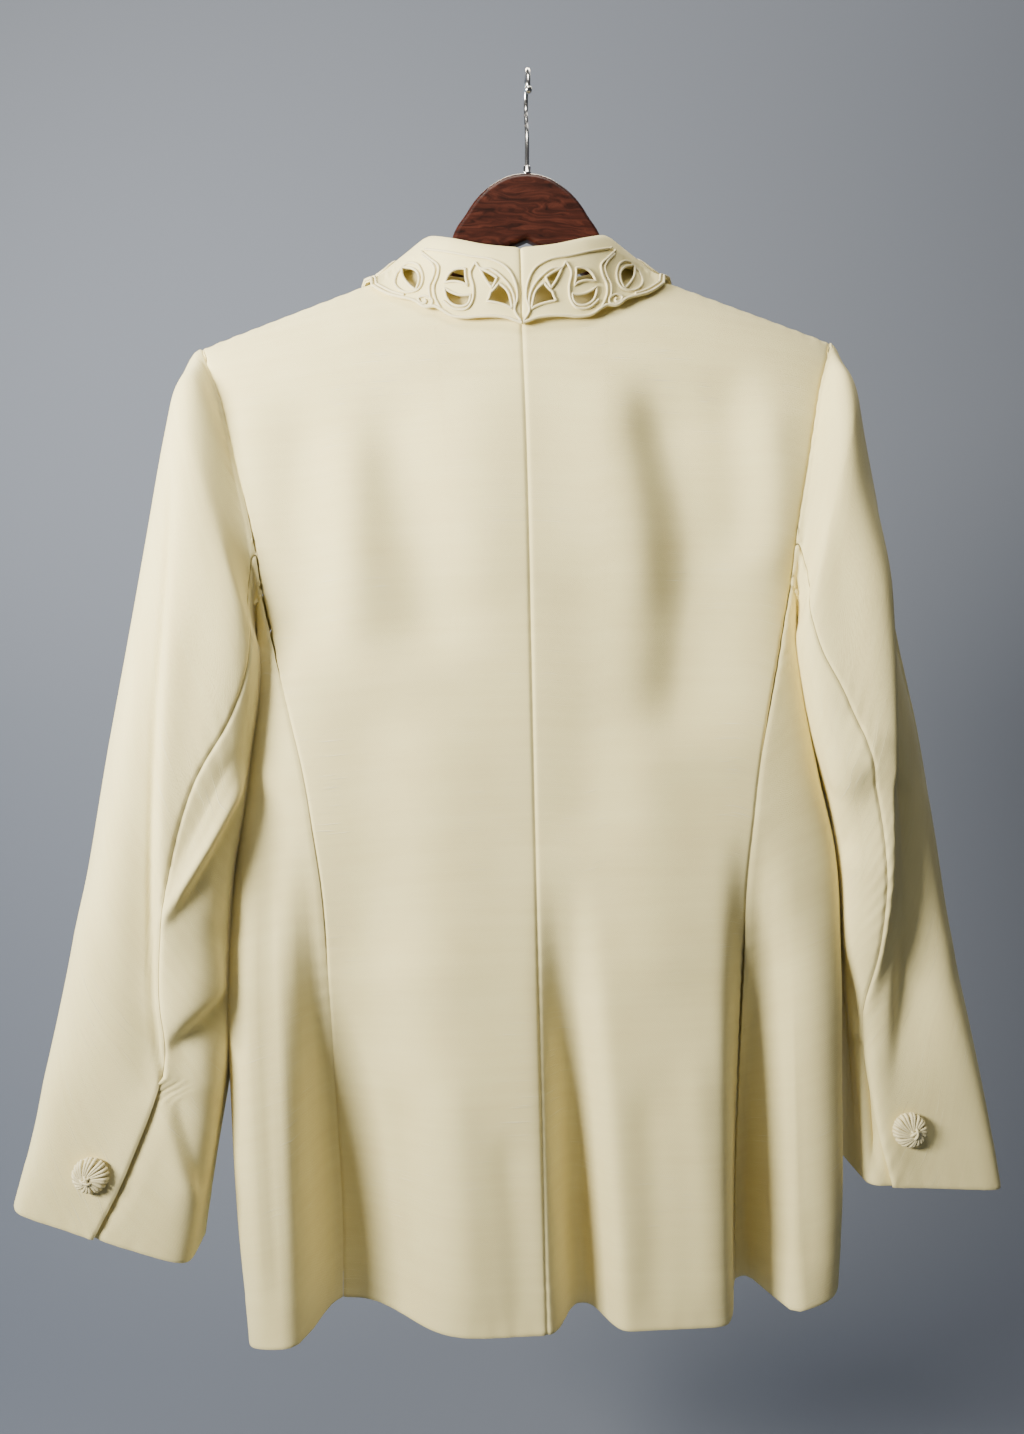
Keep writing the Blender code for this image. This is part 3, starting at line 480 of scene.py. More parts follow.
def neck_and_shoulder(u, neck_drop, share):
    """The top edge of a panel: the neckline over the first share of u, then the shoulder seam."""
    turn = np.clip(u / share, 0, 1) * math.pi / 2
    past = np.clip((u - share) / (1 - share), 0, 1)
    x = NECK_HALF * np.sin(turn) + (SHOULDER_HALF - NECK_HALF) * past
    drop = NECK_SIDE_DROP + (neck_drop - NECK_SIDE_DROP) * np.cos(turn)
    return x, drop + SHOULDER_SLOPE * (SHOULDER_HALF - NECK_HALF) * past


def panel_surface(side, front):
    neck_drop = FRONT_NECK_DROP if front else BACK_NECK_DROP
    hem = FRONT_HEM_DROP if front else BACK_HEM_DROP
    edge = FRONT_EDGE if front else BACK_EDGE
    height = front_y if front else back_y
    share = FRONT_NECK_SHARE if front else BACK_NECK_SHARE

    def edge_x(drop):
        return curve_at(edge, drop) - HALF_GAP

    def bottom(u):
        drop = hem + (BACK_HEM_DROP - hem) * u**2
        return HALF_GAP + (edge_x(BACK_HEM_DROP) - HALF_GAP) * u, drop

    def top(u):
        x, drop = neck_and_shoulder(u, neck_drop, share)
        return np.maximum(x, HALF_GAP) - HALF_GAP * u, drop + SHOULDER_GAP

    def inner(v):
        return HALF_GAP + 0 * v, hem + (neck_drop + SHOULDER_GAP - hem) * v

    def outer(v):
        drop = BACK_HEM_DROP + (SHOULDER_TIP_DROP - BACK_HEM_DROP) * v
        return edge_x(drop), drop

    def surface(u, v):
        x, drop = coons(bottom, top, inner, outer, u, v)
        return stack(side * x, height(side * x, drop), drop)

    return surface


def side_surface(side):
    side_dip = LEFT_SIDE_DIP if side < 0 else RIGHT_SIDE_DIP

    def surface(u, v):
        round_share = np.sin(math.pi * np.clip(u, 0, 1)) ** UNDERARM_ROUND
        top = ARMHOLE_FOOT_DROP + (UNDERARM_DROP - ARMHOLE_FOOT_DROP) * round_share
        hem = BACK_HEM_DROP + side_dip * round_share
        drop = top + (hem - top) * (1 - v)
        back_x = curve_at(BACK_EDGE, drop) + HALF_GAP
        front_x = curve_at(FRONT_EDGE, drop) + HALF_GAP
        start = turn_at(back_x, side, drop)
        end = math.pi - turn_at(front_x, side, drop)
        return around(side, start + (end - start) * u, drop)

    return surface


# Sleeve surface


def armhole(side):
    """The armhole's line as turns round its middle, from the shoulder tip by the back."""
    drops = np.array(ARMHOLE_DROPS)
    back_x, front_x = (side * curve_at(edge, drops) for edge in (BACK_EDGE, FRONT_EDGE))
    back = stack(back_x, back_y(back_x, drops), drops)
    front = stack(front_x, front_y(front_x, drops), drops)
    under = side_surface(side)(np.linspace(0, 1, UNDERARM_POINTS), 1.0)
    tip = np.array([[side * SHOULDER_HALF, 0, -drops[0]]])
    loop = np.concatenate([tip, back[1:-1], under, front[-2:0:-1], tip])
    middle = (drops[0] + UNDERARM_DROP) / 2
    turns = np.unwrap(np.arctan2(-loop[:, 1], loop[:, 2] + middle))
    return turns, loop


def sleeve_surface(side, rows):
    turns, loop = armhole(side)
    stations = np.arange(len(rows), dtype=float)
    values = {name: column(rows, SLEEVE_COLUMNS, name) for name in SLEEVE_COLUMNS}

    def at(name, t):
        return smooth(t, stations, values[name])

    def ring(turn, t):
        """turn runs from 0 at the outer end by the back to pi at the inner end, then by the front."""
        cos, sin = np.cos(turn), np.sin(turn)
        cuff_share = ease((t - CUFF_SQUARE_FROM) / (LAST_RING - CUFF_SQUARE_FROM))
        power = SLEEVE_SQUARENESS + (CUFF_SQUARENESS - SLEEVE_SQUARENESS) * cuff_share
        dual = power / (power - 1)
        reach = squared_reach(sin, cos, power)
        out_x, out_drop = at("outer x", t), at("outer drop", t)
        in_x, in_drop = at("inner x", t), at("inner drop", t)
        half_x, half_drop = (out_x - in_x) / 2, (out_drop - in_drop) / 2
        half = np.hypot(half_x, half_drop)
        slant = at("slant", t)
        narrow = (half**dual - slant**dual) ** (1 / dual) / half
        back, front = at("back", t), at("front", t)
        depth = np.where(sin > 0, back, front)
        across = cos * reach * narrow
        x = (out_x + in_x) / 2 + half_x * across - slant * sin * reach
        drop = (out_drop + in_drop) / 2 + half_drop * across
        return stack(side * x, -depth * sin * reach, drop)

    def surface(turn, t):
        start = np.stack([smooth(turn, turns, loop[:, k]) for k in range(3)], axis=-1)
        share = ease(t / CAP_RINGS)[..., None]
        lift = (CAP_TUCK + CAP_LIFT) * ease(t / CAP_LIFT_RINGS) - CAP_TUCK
        made = start * (1 - share) + ring(turn, t) * share
        made[..., 0] += side * lift
        return made

    return surface, lambda t: at("seam", t)


def seam_turn(share):
    """The turn on the back of a ring at a share of its width from the inner end."""
    return np.arccos(np.clip(2 * share - 1, -SEAM_LIMIT, SEAM_LIMIT))


# Creases


def crease_height(points, creases):
    """Sum of the creases' heights at each point."""
    x, drop = points[..., 0], -points[..., 2]
    total = np.zeros(x.shape)
    for height, left, right, line in creases:
        line = smooth_line(line, CREASE_STEP)
        starts = distances(line)
        steps = np.diff(starts)
        nearest = np.full(total.shape, np.inf)
        signed = np.zeros(total.shape)
        share = np.zeros(total.shape)
        for k, step in enumerate(steps):
            ax, ad = line[k]
            dx, dd = (line[k + 1] - line[k]) / step
            along = np.clip((x - ax) * dx + (drop - ad) * dd, 0, step)
            off_x, off_d = x - ax - along * dx, drop - ad - along * dd
            away = np.hypot(off_x, off_d)
            nearer = away < nearest
            nearest = np.where(nearer, away, nearest)
            signed = np.where(nearer, off_x * dd - off_d * dx, signed)
            share = np.where(nearer, (starts[k] + along) / starts[-1], share)
        width = np.where(signed < 0, left, right)
        ends = ease(share / CREASE_TAPER) * ease((1 - share) / CREASE_TAPER)
        total = total + height * ends * np.exp(-((nearest / width) ** 2))
    return total


# Cloth meshes


def clustered(count, length):
    """Shares from 0 to 1 of a length in mm, closer together at both ends."""
    close = np.array(CLOSE_ROWS) / length
    middle = np.linspace(close[-1], 1 - close[-1], count)[1:-1]
    return np.concatenate([close, middle, 1 - close[::-1]])


def normals_of(points):
    return unit(np.cross(np.gradient(points, axis=0), np.gradient(points, axis=1)))


def arc(points, axis):
    """Distance along each line of a grid of points."""
    steps = np.linalg.norm(np.diff(points, axis=axis), axis=-1)
    start = np.zeros_like(np.take(steps, [0], axis=axis))
    return np.concatenate([start, np.cumsum(steps, axis=axis)], axis=axis)


def edge_distance(points):
    """Distances in mm of each point from the four edges: first and last column, then row."""
    across, down = arc(points, 0), arc(points, 1)
    return across, across[-1:] - across, down, down[:, -1:] - down


def pucker(distance, along):
    """Small uneven waves beside a seam, dying away from it."""
    wander = PUCKER_WANDER * np.sin(along / PUCKER_WANDER_LENGTH)
    wave = np.sin(along * 2 * math.pi / PUCKER_LENGTH + wander)
    first, second = (np.sin(along / length + start) for length, start in PUCKER_PATCHES)
    uneven = 0.5 + 0.5 * first * second
    return PUCKER_HEIGHT * wave * uneven * np.exp(-((distance / PUCKER_REACH) ** 2))


def seam_dip(distance):
    return -SEAM_DIP * np.exp(-((distance / SEAM_ROLL) ** 2))


def close_wall(outer, inner, flip):
    """One closed body from two grids of points, joined round their edges."""
    n, m = outer.shape[:2]
    points = np.concatenate([outer.reshape(-1, 3), inner.reshape(-1, 3)])
    index = np.arange(n * m).reshape(n, m)
    a, b, c, d = index[:-1, :-1], index[1:, :-1], index[1:, 1:], index[:-1, 1:]
    top = np.stack([a, b, c, d], axis=-1).reshape(-1, 4)
    rim = np.concatenate([index[:, 0], index[-1, 1:], index[-2::-1, -1], index[0, -2:0:-1]])
    after = np.roll(rim, -1)
    edge = np.stack([after, rim, rim + n * m, after + n * m], axis=-1)
    faces = np.concatenate([top, top[:, ::-1] + n * m, edge])
    return points, faces[:, ::-1] if flip else faces


def add_object(name, data):
    obj = bpy.data.objects.new(name, data)
    bpy.context.scene.collection.objects.link(obj)
    return obj


def register(obj, node=None):
    """Puts a piece on the body, in the place of a node if one is named."""
    if node:
        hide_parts(node)
    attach(obj, BODY)


def mesh_object(name, points, faces, material, weave):
    """A smooth mesh in the row's frame; weave gives each point's place on the flat cloth."""
    mesh = bpy.data.meshes.new(name)
    mesh.from_pydata(points.tolist(), [], [list(map(int, f)) for f in faces])
    mesh.update()
    mesh.shade_smooth()
    mesh.set_sharp_from_angle(angle=SHARP_ANGLE)
    mesh.materials.append(material)
    layer = mesh.attributes.new("weave", "FLOAT_VECTOR", "POINT")
    flat = np.zeros((len(points), 3), np.float32)
    flat[:, :2] = weave
    layer.data.foreach_set("vector", flat.ravel())
    return add_object(name, mesh)


def cloth_piece(node, points, outward, hem, height, material, grain=0.0):
    """A cloth panel from a grid of points, sewn at every edge but its hem."""
    normal = normals_of(points) * outward
    edges = edge_distance(points)
    across, down = edges[0], edges[2]
    alongs = (down, down, across, across)
    for k, (edge, along) in enumerate(zip(edges, alongs)):
        if k != hem:
            height = height + seam_dip(edge) + pucker(edge, along)
    from_hem = edges[hem]
    height = height - HEM_SWELL * np.clip(1 - from_hem / HEM_ROLL, 0, 1) ** 2
    height = height + HEM_PRINT * ease((HEM_DEPTH - from_hem) / HEM_PRINT_SOFTNESS)
    height = height + HEM_PUCKER * pucker(from_hem, alongs[hem])
    outer = points + normal * height[..., None]
    thick = CLOTH + CLOTH * ease((HEM_DEPTH - from_hem) / HEM_STEP)
    inner = outer - normals_of(outer) * outward * thick[..., None]
    made, faces = close_wall(outer, inner, outward < 0)
    cos, sin = math.cos(grain), math.sin(grain)
    flat = np.stack([across * cos + down * sin, down * cos - across * sin], axis=-1).reshape(-1, 2)
    weave = np.concatenate([flat, flat]) * MM
    obj = mesh_object(f"{node}_cloth", hang(made), faces, material, weave)
    register(obj, node)


def grid(surface, cells):
    u, v = np.meshgrid(*[clustered(*line) for line in cells], indexing="ij")
    return surface(u, v)


def build_body(material):
    for side, word in HALVES:
        jobs = (
            ("back", panel_surface(side, False), BACK_GRID, side, BACK_CREASES, 0.0),
            ("front", panel_surface(side, True), FRONT_GRID, -side, FRONT_CREASES, 0.0),
            ("side", side_surface(side), SIDE_GRID, side, SIDE_CREASES, SIDE_GRAIN * side),
        )
        for panel, surface, cells, outward, creases, grain in jobs:
            points = grid(surface, cells)
            height = crease_height(points, creases)
            cloth_piece(f"{panel}_{word}", points, outward, FIRST_ROW, height, material, grain)


def build_sleeves(material):
    front = seam_turn(FRONT_SLEEVE_SEAM)
    lengths = clustered(*TOP_SLEEVE_GRID[1])
    lift = ease((lengths * LAST_RING - VENT_RING) / VENT_LIFT_RINGS)
    for side, word, rows, creases in SLEEVES:
        surface, seam = sleeve_surface(side, rows)

        def top_piece(u, v):
            t = v * LAST_RING
            start = -front + SLEEVE_GAP_TURN
            end = seam_turn(seam(t)) - SLEEVE_GAP_TURN
            turn = start + (end - start) * u
            return surface(np.where(turn < 0, turn + 2 * math.pi, turn), t)

        def under_piece(u, v):
            t = v * LAST_RING
            slide = VENT_UNDERLAP * ease((t - VENT_RING) / VENT_SLIDE_RINGS)
            start = seam_turn(seam(t)) + SLEEVE_GAP_TURN - slide
            end = 2 * math.pi - front - SLEEVE_GAP_TURN
            return surface(start + (end - start) * u, t)

        top, under = grid(top_piece, TOP_SLEEVE_GRID), grid(under_piece, UNDER_SLEEVE_GRID)
        raised = FLAP_RISE * lift * np.exp(-((edge_distance(top)[1] / FLAP_REACH) ** 2))
        sunk = -VENT_DEPTH * lift * ease((VENT_REACH - edge_distance(under)[0]) / VENT_SOFTNESS)
        for panel, points, swell in (("top", top, raised), ("under", under, sunk)):
            height = swell + back_only(points, creases)
            cloth_piece(f"{panel}_sleeve_{word}", points, side, LAST_ROW, height, material)


def back_only(points, creases):
    """The creases' heights on the part of a sleeve that faces the back."""
    facing = np.abs(normals_of(points)[..., 1]) * (points[..., 1] < 0)
    return crease_height(points, creases) * ease(facing * FACING_GAIN)


# Collar

COLLAR_COLUMNS = (
    "fold x", "fold y", "fold drop", "edge x", "edge y", "edge drop", "neck x", "neck y", "neck drop",
)
COLLAR_LINE = (
    (0, -33, 130, 0, -43, 181, 0, -29, 151),
    (22, -31, 127, 25, -43, 179, 20, -28, 150),
    (44, -22, 119, 53, -38, 172, 42, -22, 142),
    (59, -6, 111, 84, -22, 159, 59, -6, 128),
    (62, 8, 111, 104, 3, 140, 61, 8, 128),
    (60, 25, 120, 102, 32, 158, 59, 24, 139),
    (50, 40, 142, 84, 52, 192, 49, 36, 162),
    (30, 50, 170, 56, 62, 222, 30, 43, 190),
    (6, 54, 186, 16, 66, 240, 6, 46, 206),
)
COLLAR_FALL = 50
COLLAR_STAND = 22
COLLAR_LENGTH = 190
COLLAR_CLEARANCE = 2.6
COLLAR_ROLL = 4.5
STAND_ROLL = 1.2
COLLAR_FRONT_Y = 4
RIDGE_CLEARANCE = 3.4
RIDGE_EASE = 0.42
RIDGE_REACH = 7.8
COLLAR_CLOTH = 1.4
COLLAR_SEAM_DIP = 0.8
COLLAR_SEAM_ROLL = 1.6
# The flat collar's triangles: their size along it, and rows on the stand and on the fall
COLLAR_GRID = 1.7
STAND_ROWS = 14
FALL_ROWS = 32
HOLE_MARGIN = 0.8
MERGE_DISTANCE = 1e-5
NORMAL_STEP = 0.5
BOW_STEPS = 9

# The scalloped lower edge: distance along the collar and below its fold
SCALLOP = (
    (0, 49.5), (4, 48.2), (9, 46.4), (17, 45.6), (26, 46.8), (34, 49), (42, 49.4), (47, 47), (50, 46),
    (55, 48), (60, 45.6), (68, 46), (80, 48.5), (94, 50), (108, 48.5), (120, 46), (128, 45.6),
    (133, 48), (138, 46), (142, 47.2), (148, 49.4), (156, 49), (164, 46.8), (173, 45.6),
    (181, 46.4), (186, 48.2), (190, 49.5),
)
# Openings of one motif, as corners and the bends between them, first corner last bend
OPENINGS = (
    ((26, 17), (20.5, 18), (15.5, 21.5), (16.8, 25), (18.6, 28), (23, 23.5)),
    (
        (14.3, 24.6), (8.2, 28), (7.4, 33), (6.6, 36), (6, 40), (13, 36.4), (21.5, 36.4),
        (19.8, 33), (19.4, 30.6), (16.6, 28),
    ),
    ((34.6, 18.6), (44, 18.5), (45.8, 29.4), (39, 25.6), (32.8, 28.6), (34.6, 24)),
    ((45.8, 32.6), (45, 42.6), (38, 42.4), (30.8, 41.6), (31.2, 33.6), (38.5, 37)),
    ((75.5, 24.5), (57, 20.5), (61, 38), (71, 33)),
)
# Leaf between the two motifs of a half
MIDDLE_OPENING = ((94, 20), (101.5, 30), (94, 40), (86.5, 30))
MOTIF_SPAN = 188
# Cords of one motif: each a line of points that a smooth cord follows
CORDS = (
    (
        (63.2, 10.3), (52, 10.2), (33, 10.4), (19, 10.6), (8.9, 15.3), (3.4, 25.4), (2.7, 33),
        (4.6, 41), (0.9, 48),
    ),
    ((28.9, 13.6), (26.6, 16.4), (20, 16.4), (13, 20.4), (7, 27), (4.6, 34), (4.6, 40.5)),
    ((28.9, 13.6), (31.6, 20), (29.6, 29), (30, 37), (33.4, 43), (40, 44.6), (46, 41)),
    ((65, 12.2), (57, 16), (50.8, 20), (50.4, 26), (51.8, 33), (50.6, 40), (47.4, 46)),
    ((63, 14.4), (55.6, 18.4), (52.9, 21.6), (52.9, 27), (54.2, 33), (53.4, 39), (52.6, 42)),
    (
        (76.5, 30), (73.5, 21.5), (64, 21), (58.8, 28), (59.6, 37), (65.5, 41.2), (73.5, 38.5),
        (76.5, 30),
    ),
    (
        (55.2, 47), (51.9, 45.4), (52.2, 41.6), (56, 40.6), (58.6, 43.4), (56.8, 46),
        (54.6, 44.6), (55.4, 42.8),
    ),
    ((66, 43.4), (76, 44.6), (88, 46.6), (94, 47)),
)
CORD_RADIUS = 0.9
EDGE_CORD_RADIUS = 1.05
CORD_RISE = 0.4
COLLAR_SETTLE = 0.88
CORD_STEP = 0.8
CORD_SIDES = 8
# How far inside the collar's edges the cords stay
EDGE_CORD_START = 0.4
CORD_INSET = 0.3
LOWEST_CORD = COLLAR_FALL - 0.2


def collar_surface(side):
    """A point of the collar at a distance along it and below its fold; the stand is above 0."""
    stations = np.linspace(0, COLLAR_LENGTH, len(COLLAR_LINE))
    values = {name: column(COLLAR_LINE, COLLAR_COLUMNS, name) for name in COLLAR_COLUMNS}

    def line(word, along):
        parts = [smooth(along, stations, values[f"{word} {k}"]) for k in ("x", "y", "drop")]
        return stack(*parts)

    def surface(along, below):
        fold, edge, neck = line("fold", along), line("edge", along), line("neck", along)
        out = edge - fold
        out[..., 2] = 0
        out = unit(out)
        down = np.clip(below / COLLAR_FALL, 0, 1)[..., None]
        up = np.clip(-below / COLLAR_STAND, 0, 1)[..., None]
        shoulder = fold + out * COLLAR_ROLL
        shoulder[..., 2] -= COLLAR_ROLL
        fall = bow(fold, (shoulder + edge) / 2, edge, down)
        fall = fall + out * np.sqrt(down * (1 - down) ** 3) * COLLAR_ROLL * 2
        stand = fold + (neck - fold) * up
        stand = stand - out * np.sqrt(up * (1 - up) ** 3) * STAND_ROLL
        point = np.where(below[..., None] > 0, fall, stand)
        x, y, drop = point[..., 0], point[..., 1], -point[..., 2]
        rest_back = back_y(x, drop) - COLLAR_CLEARANCE
        rest_front = front_y(x, drop) + COLLAR_CLEARANCE
        ridge = shoulder_line(x)
        lifted = ridge - RIDGE_CLEARANCE + RIDGE_EASE * np.abs(y)
        over_ridge = (below > 0) & (np.abs(y) < RIDGE_REACH)
        drop = np.where(over_ridge, np.minimum(drop, lifted), drop)
        under = (below > 0) & (drop > ridge)
        settled = y + (rest_back - y) * COLLAR_SETTLE * down[..., 0] ** 2
        y = np.where(under & (y < COLLAR_FRONT_Y), np.minimum(settled, rest_back), y)
        y = np.where(under & (y >= COLLAR_FRONT_Y), np.maximum(y, rest_front), y)
        return stack(side * x, y, drop)

    return surface


def collar_normal(surface, side, along, below):
    def at(a, b):
        return surface(np.clip(a, 0, COLLAR_LENGTH), np.clip(b, -COLLAR_STAND, COLLAR_FALL))

    run = at(along + NORMAL_STEP, below) - at(along - NORMAL_STEP, below)
    fall = at(along, below + NORMAL_STEP) - at(along, below - NORMAL_STEP)
    return unit(np.cross(run, fall)) * -side


def bent_loop(corners):
    """A closed outline whose sides are bows: corner, bend, corner, bend and so on."""
    corners = np.array(corners, float)
    ends = np.roll(corners, -2, axis=0)
    t = np.linspace(0, 1, BOW_STEPS, endpoint=False)[:, None]
    sides = range(0, len(corners), 2)
    return np.concatenate([bow(corners[k], corners[k + 1], ends[k], t) for k in sides])


def flipped(points):
    points = np.array(points, float)
    points[:, 0] = MOTIF_SPAN - points[:, 0]
    return points


def smooth_line(points, step):
    """Points at even steps along a smooth curve through the given ones."""
    points = np.array(points, float)
    ends = distances(points)
    count = max(int(ends[-1] / step), 3)
    at = np.linspace(0, ends[-1], count)
    return np.stack([smooth(at, ends, points[:, k]) for k in range(points.shape[1])], axis=-1)


def inside(points, outline):
    x, y = points[:, 0], points[:, 1]
    found = np.zeros(len(points), bool)
    for (ax, ay), (bx, by) in zip(outline, np.roll(outline, -1, axis=0)):
        crosses = (ay > y) != (by > y)
        level = np.where(crosses, (y - ay) / np.where(by == ay, 1, by - ay), 0)
        found ^= crosses & (x < ax + level * (bx - ax))
    return found


def collar_openings():
    motif = [bent_loop(corners) for corners in OPENINGS]
    return motif + [flipped(loop)[::-1] for loop in motif] + [bent_loop(MIDDLE_OPENING)]


def scallop(along):
    return curve_at(SCALLOP, along)


def collar_layout(holes):
    """Triangles of the flat collar half, with its cutwork openings left out."""
    alongs = np.linspace(HALF_GAP, COLLAR_LENGTH, int(COLLAR_LENGTH / COLLAR_GRID))
    belows = np.linspace(-COLLAR_STAND, 0, STAND_ROWS)
    falls = np.linspace(0, 1, FALL_ROWS)[1:]
    border = [(a, -COLLAR_STAND) for a in alongs]
    border += [(COLLAR_LENGTH, b) for b in belows[1:]]
    border += [(COLLAR_LENGTH, f * scallop(COLLAR_LENGTH)) for f in falls]
    border += [(a, scallop(a)) for a in alongs[-2::-1]]
    border += [(HALF_GAP, f * scallop(HALF_GAP)) for f in falls[-2::-1]]
    border += [(HALF_GAP, b) for b in belows[-1:0:-1]]
    fill = [(a, b) for a in alongs[1:-1] for b in belows[1:]]
    fill += [(a, f * scallop(a)) for a in alongs[1:-1] for f in falls[:-1]]
    fill = np.array(fill)
    for hole in holes:
        middle = hole.mean(axis=0)
        reach = np.linalg.norm(hole - middle, axis=1, keepdims=True)
        grown = middle + (hole - middle) * (1 + HOLE_MARGIN / reach)
        fill = fill[~inside(fill, grown)]
    loops = [np.array(border, float)] + holes
    edges, start = [], 0
    for loop in loops:
        index = start + np.arange(len(loop))
        edges += zip(index.tolist(), np.roll(index, -1).tolist())
        start += len(loop)
    points = [Vector(p) for p in np.concatenate(loops + [fill])]
    made = delaunay_2d_cdt(points, edges, [], 1, MERGE_DISTANCE)
    places = np.array([tuple(p) for p in made[0]])
    faces = np.array([tuple(f) for f in made[2]])
    middles = places[faces].mean(axis=1)
    for hole in holes:
        kept = ~inside(middles, hole)
        faces, middles = faces[kept], middles[kept]
    used, renumbered = np.unique(faces, return_inverse=True)
    return places[used], renumbered.reshape(faces.shape)


def tube(path, normal, radius, closed=False):
    """Rings of a round cord along a path; normal points away from the cloth under it."""
    ahead = np.roll(path, -1, axis=0) - np.roll(path, 1, axis=0)
    if not closed:
        ahead[0], ahead[-1] = path[1] - path[0], path[-1] - path[-2]
    ahead = unit(ahead)
    across = unit(np.cross(ahead, normal))
    up = np.cross(across, ahead)
    n = len(path)
    turns = np.arange(CORD_SIDES) * 2 * math.pi / CORD_SIDES
    radii = np.broadcast_to(radius, (n,))[:, None, None]
    ring = across[:, None] * np.cos(turns)[:, None] + up[:, None] * np.sin(turns)[:, None]
    points = path[:, None] + ring * radii
    index = np.arange(n * CORD_SIDES).reshape(n, CORD_SIDES)
    near = index if closed else index[:-1]
    far = np.roll(index, -1, axis=0) if closed else index[1:]
    faces = quads(near, far)
    if not closed:
        faces += [index[0, ::-1].tolist(), index[-1].tolist()]
    flat = np.stack([np.repeat(distances(path), CORD_SIDES), np.tile(turns, n)], axis=-1)
    return points.reshape(-1, 3), faces, flat


def quads(near, far):
    """Faces between rings of points and the next ones."""
    corners = [near, np.roll(near, -1, axis=1), np.roll(far, -1, axis=1), far]
    return np.stack(corners, axis=-1).reshape(-1, 4).tolist()


def joined(parts):
    """One list of points, faces and flat places from several."""
    points, faces, flats, start = [], [], [], 0
    for part_points, part_faces, flat in parts:
        points.append(part_points)
        faces += [[i + start for i in f] for f in part_faces]
        flats.append(flat)
        start += len(part_points)
    return np.concatenate(points), faces, np.concatenate(flats)


def build_collar(cloth, satin):
    holes = collar_openings()
    places, faces = collar_layout(holes)
    along, below = places[:, 0], places[:, 1]
    n = len(places)
    edges = {tuple(e) for pair in ([0, 1], [1, 2], [2, 0]) for e in faces[:, pair].tolist()}
    rim = [(b, a, a + n, b + n) for a, b in sorted(edges) if (b, a) not in edges]
    walls = [tuple(f) for f in faces] + [tuple(f[::-1] + n) for f in faces] + rim
    weave = np.concatenate([places, places]) * MM
    sides = places[faces[:, 1:]] - places[faces[:, :1]]
    area = 0.5 * float(np.abs(np.cross(sides[:, 0], sides[:, 1])).sum())
    lines = [smooth_line(c, CORD_STEP) for c in (*CORDS, *map(flipped, CORDS))]
    jobs = [(line, CORD_RADIUS, False) for line in lines]
    starts = np.arange(EDGE_CORD_START, COLLAR_LENGTH, CORD_STEP)
    edge_line = np.column_stack([starts, scallop(starts) - CORD_INSET])
    jobs += [(edge_line, EDGE_CORD_RADIUS, False)] + [(hole, CORD_RADIUS, True) for hole in holes]
    for side, word in HALVES:
        surface = collar_surface(side)
        normal = collar_normal(surface, side, along, below)
        dip = COLLAR_SEAM_DIP * np.exp(-((along / COLLAR_SEAM_ROLL) ** 2))
        outer = surface(along, below) - normal * dip[:, None]
        inner = outer - COLLAR_CLOTH * normal
        inner[along <= HALF_GAP, 0] = side * HALF_GAP
        made = [f[::-1] for f in walls] if side > 0 else walls
        node = f"collar_{word}"
        wall = hang(np.concatenate([outer, inner]))
        obj = mesh_object(f"{node}_cloth", wall, made, cloth, weave)
        cords = []
        for line, radius, closed in jobs:
            a = np.clip(line[:, 0], CORD_INSET, COLLAR_LENGTH - CORD_INSET)
            b = np.clip(line[:, 1], -COLLAR_STAND, LOWEST_CORD)
            up = collar_normal(surface, side, a, b)
            cords.append(tube(surface(a, b) + up * CORD_RISE, up, radius, closed))
        points, cord_faces, flat = joined(cords)
        cord = mesh_object(f"{node}_cords", hang(points), cord_faces, satin, flat)
        register(obj, node)
        register(cord)


# Corded buttons

BUTTON_RADIUS = 12
BUTTON_HEIGHT = 7.2
BUTTON_RIM = 2.8
BUTTON_CLEARANCE = 0.6
BUTTON_SIDES = 40
# The plain core under the cords: its depth below the dome, its width as a share of the dome's,
# the shares of the radius where it has rings, and the rings of its edge and back
CORE_SINK = 1.2
CORE_WIDTH = 0.9
CORE_SHARES = (0, *np.linspace(0.12, 1, 9))
CORE_BACK = ((BUTTON_RADIUS - 0.8, 1.6), (BUTTON_RADIUS - 3, 0.9), (4, 0.7), (4, 0), (0, 0))
# The cords from the rim to the knot: how many, their points and radii, how far they turn and bow
# on the way, their uneven spacing, and how deep they lie, at the rim and at the knot too
BUTTON_CORDS = 23
BUTTON_CORD_POINTS = 15
CORE_CORD_RADIUS = 0.62
RIM_CORD_RADIUS = 1.4
BUTTON_SWIRL = 0.55
BUTTON_BOW = 0.9
SPACING_DRIFT = 0.05
SPACING_STEP = 2.3
CORD_SINK = 0.3
RIM_TUCK = 2.0
RIM_TUCK_SHARE = 0.16
KNOT_TUCK = 0.3
DOME_LEAN = 1.2
DOME_UP = 0.8
# The knot: the turns of its cords, their half length, bow, rise, droop at the ends and the step
# from each to the next
KNOT_OFFSET = (-2.6, -1.4)
KNOT_TURNS = (20, 82, 140)
KNOT_RADIUS = 2.1
KNOT_POINTS = 13
KNOT_HALF = 3.4
KNOT_BOW = 0.9
KNOT_RISE = 0.5
KNOT_DROOP = 1.3
KNOT_LAYER = 0.35
KNOT_CORD_RADIUS = CORE_CORD_RADIUS * 1.5
# Cuff buttons: x and drop, and how far each is spun
CUFF_BUTTONS = ((-283, 711, 0.4), (243, 712, 2.1))
FRONT_BUTTON_DROPS = (268, 400, 532)
FRONT_BUTTON_SPIN = 1.3
# Turns and rings of a sleeve among which a cuff button's place is looked for
SEARCH_TURNS = np.linspace(0.1, math.pi - 0.1, 120)
SEARCH_RINGS = np.linspace(8, 10, 120)


def heading(turn):
    return np.array([math.cos(turn), math.sin(turn)])


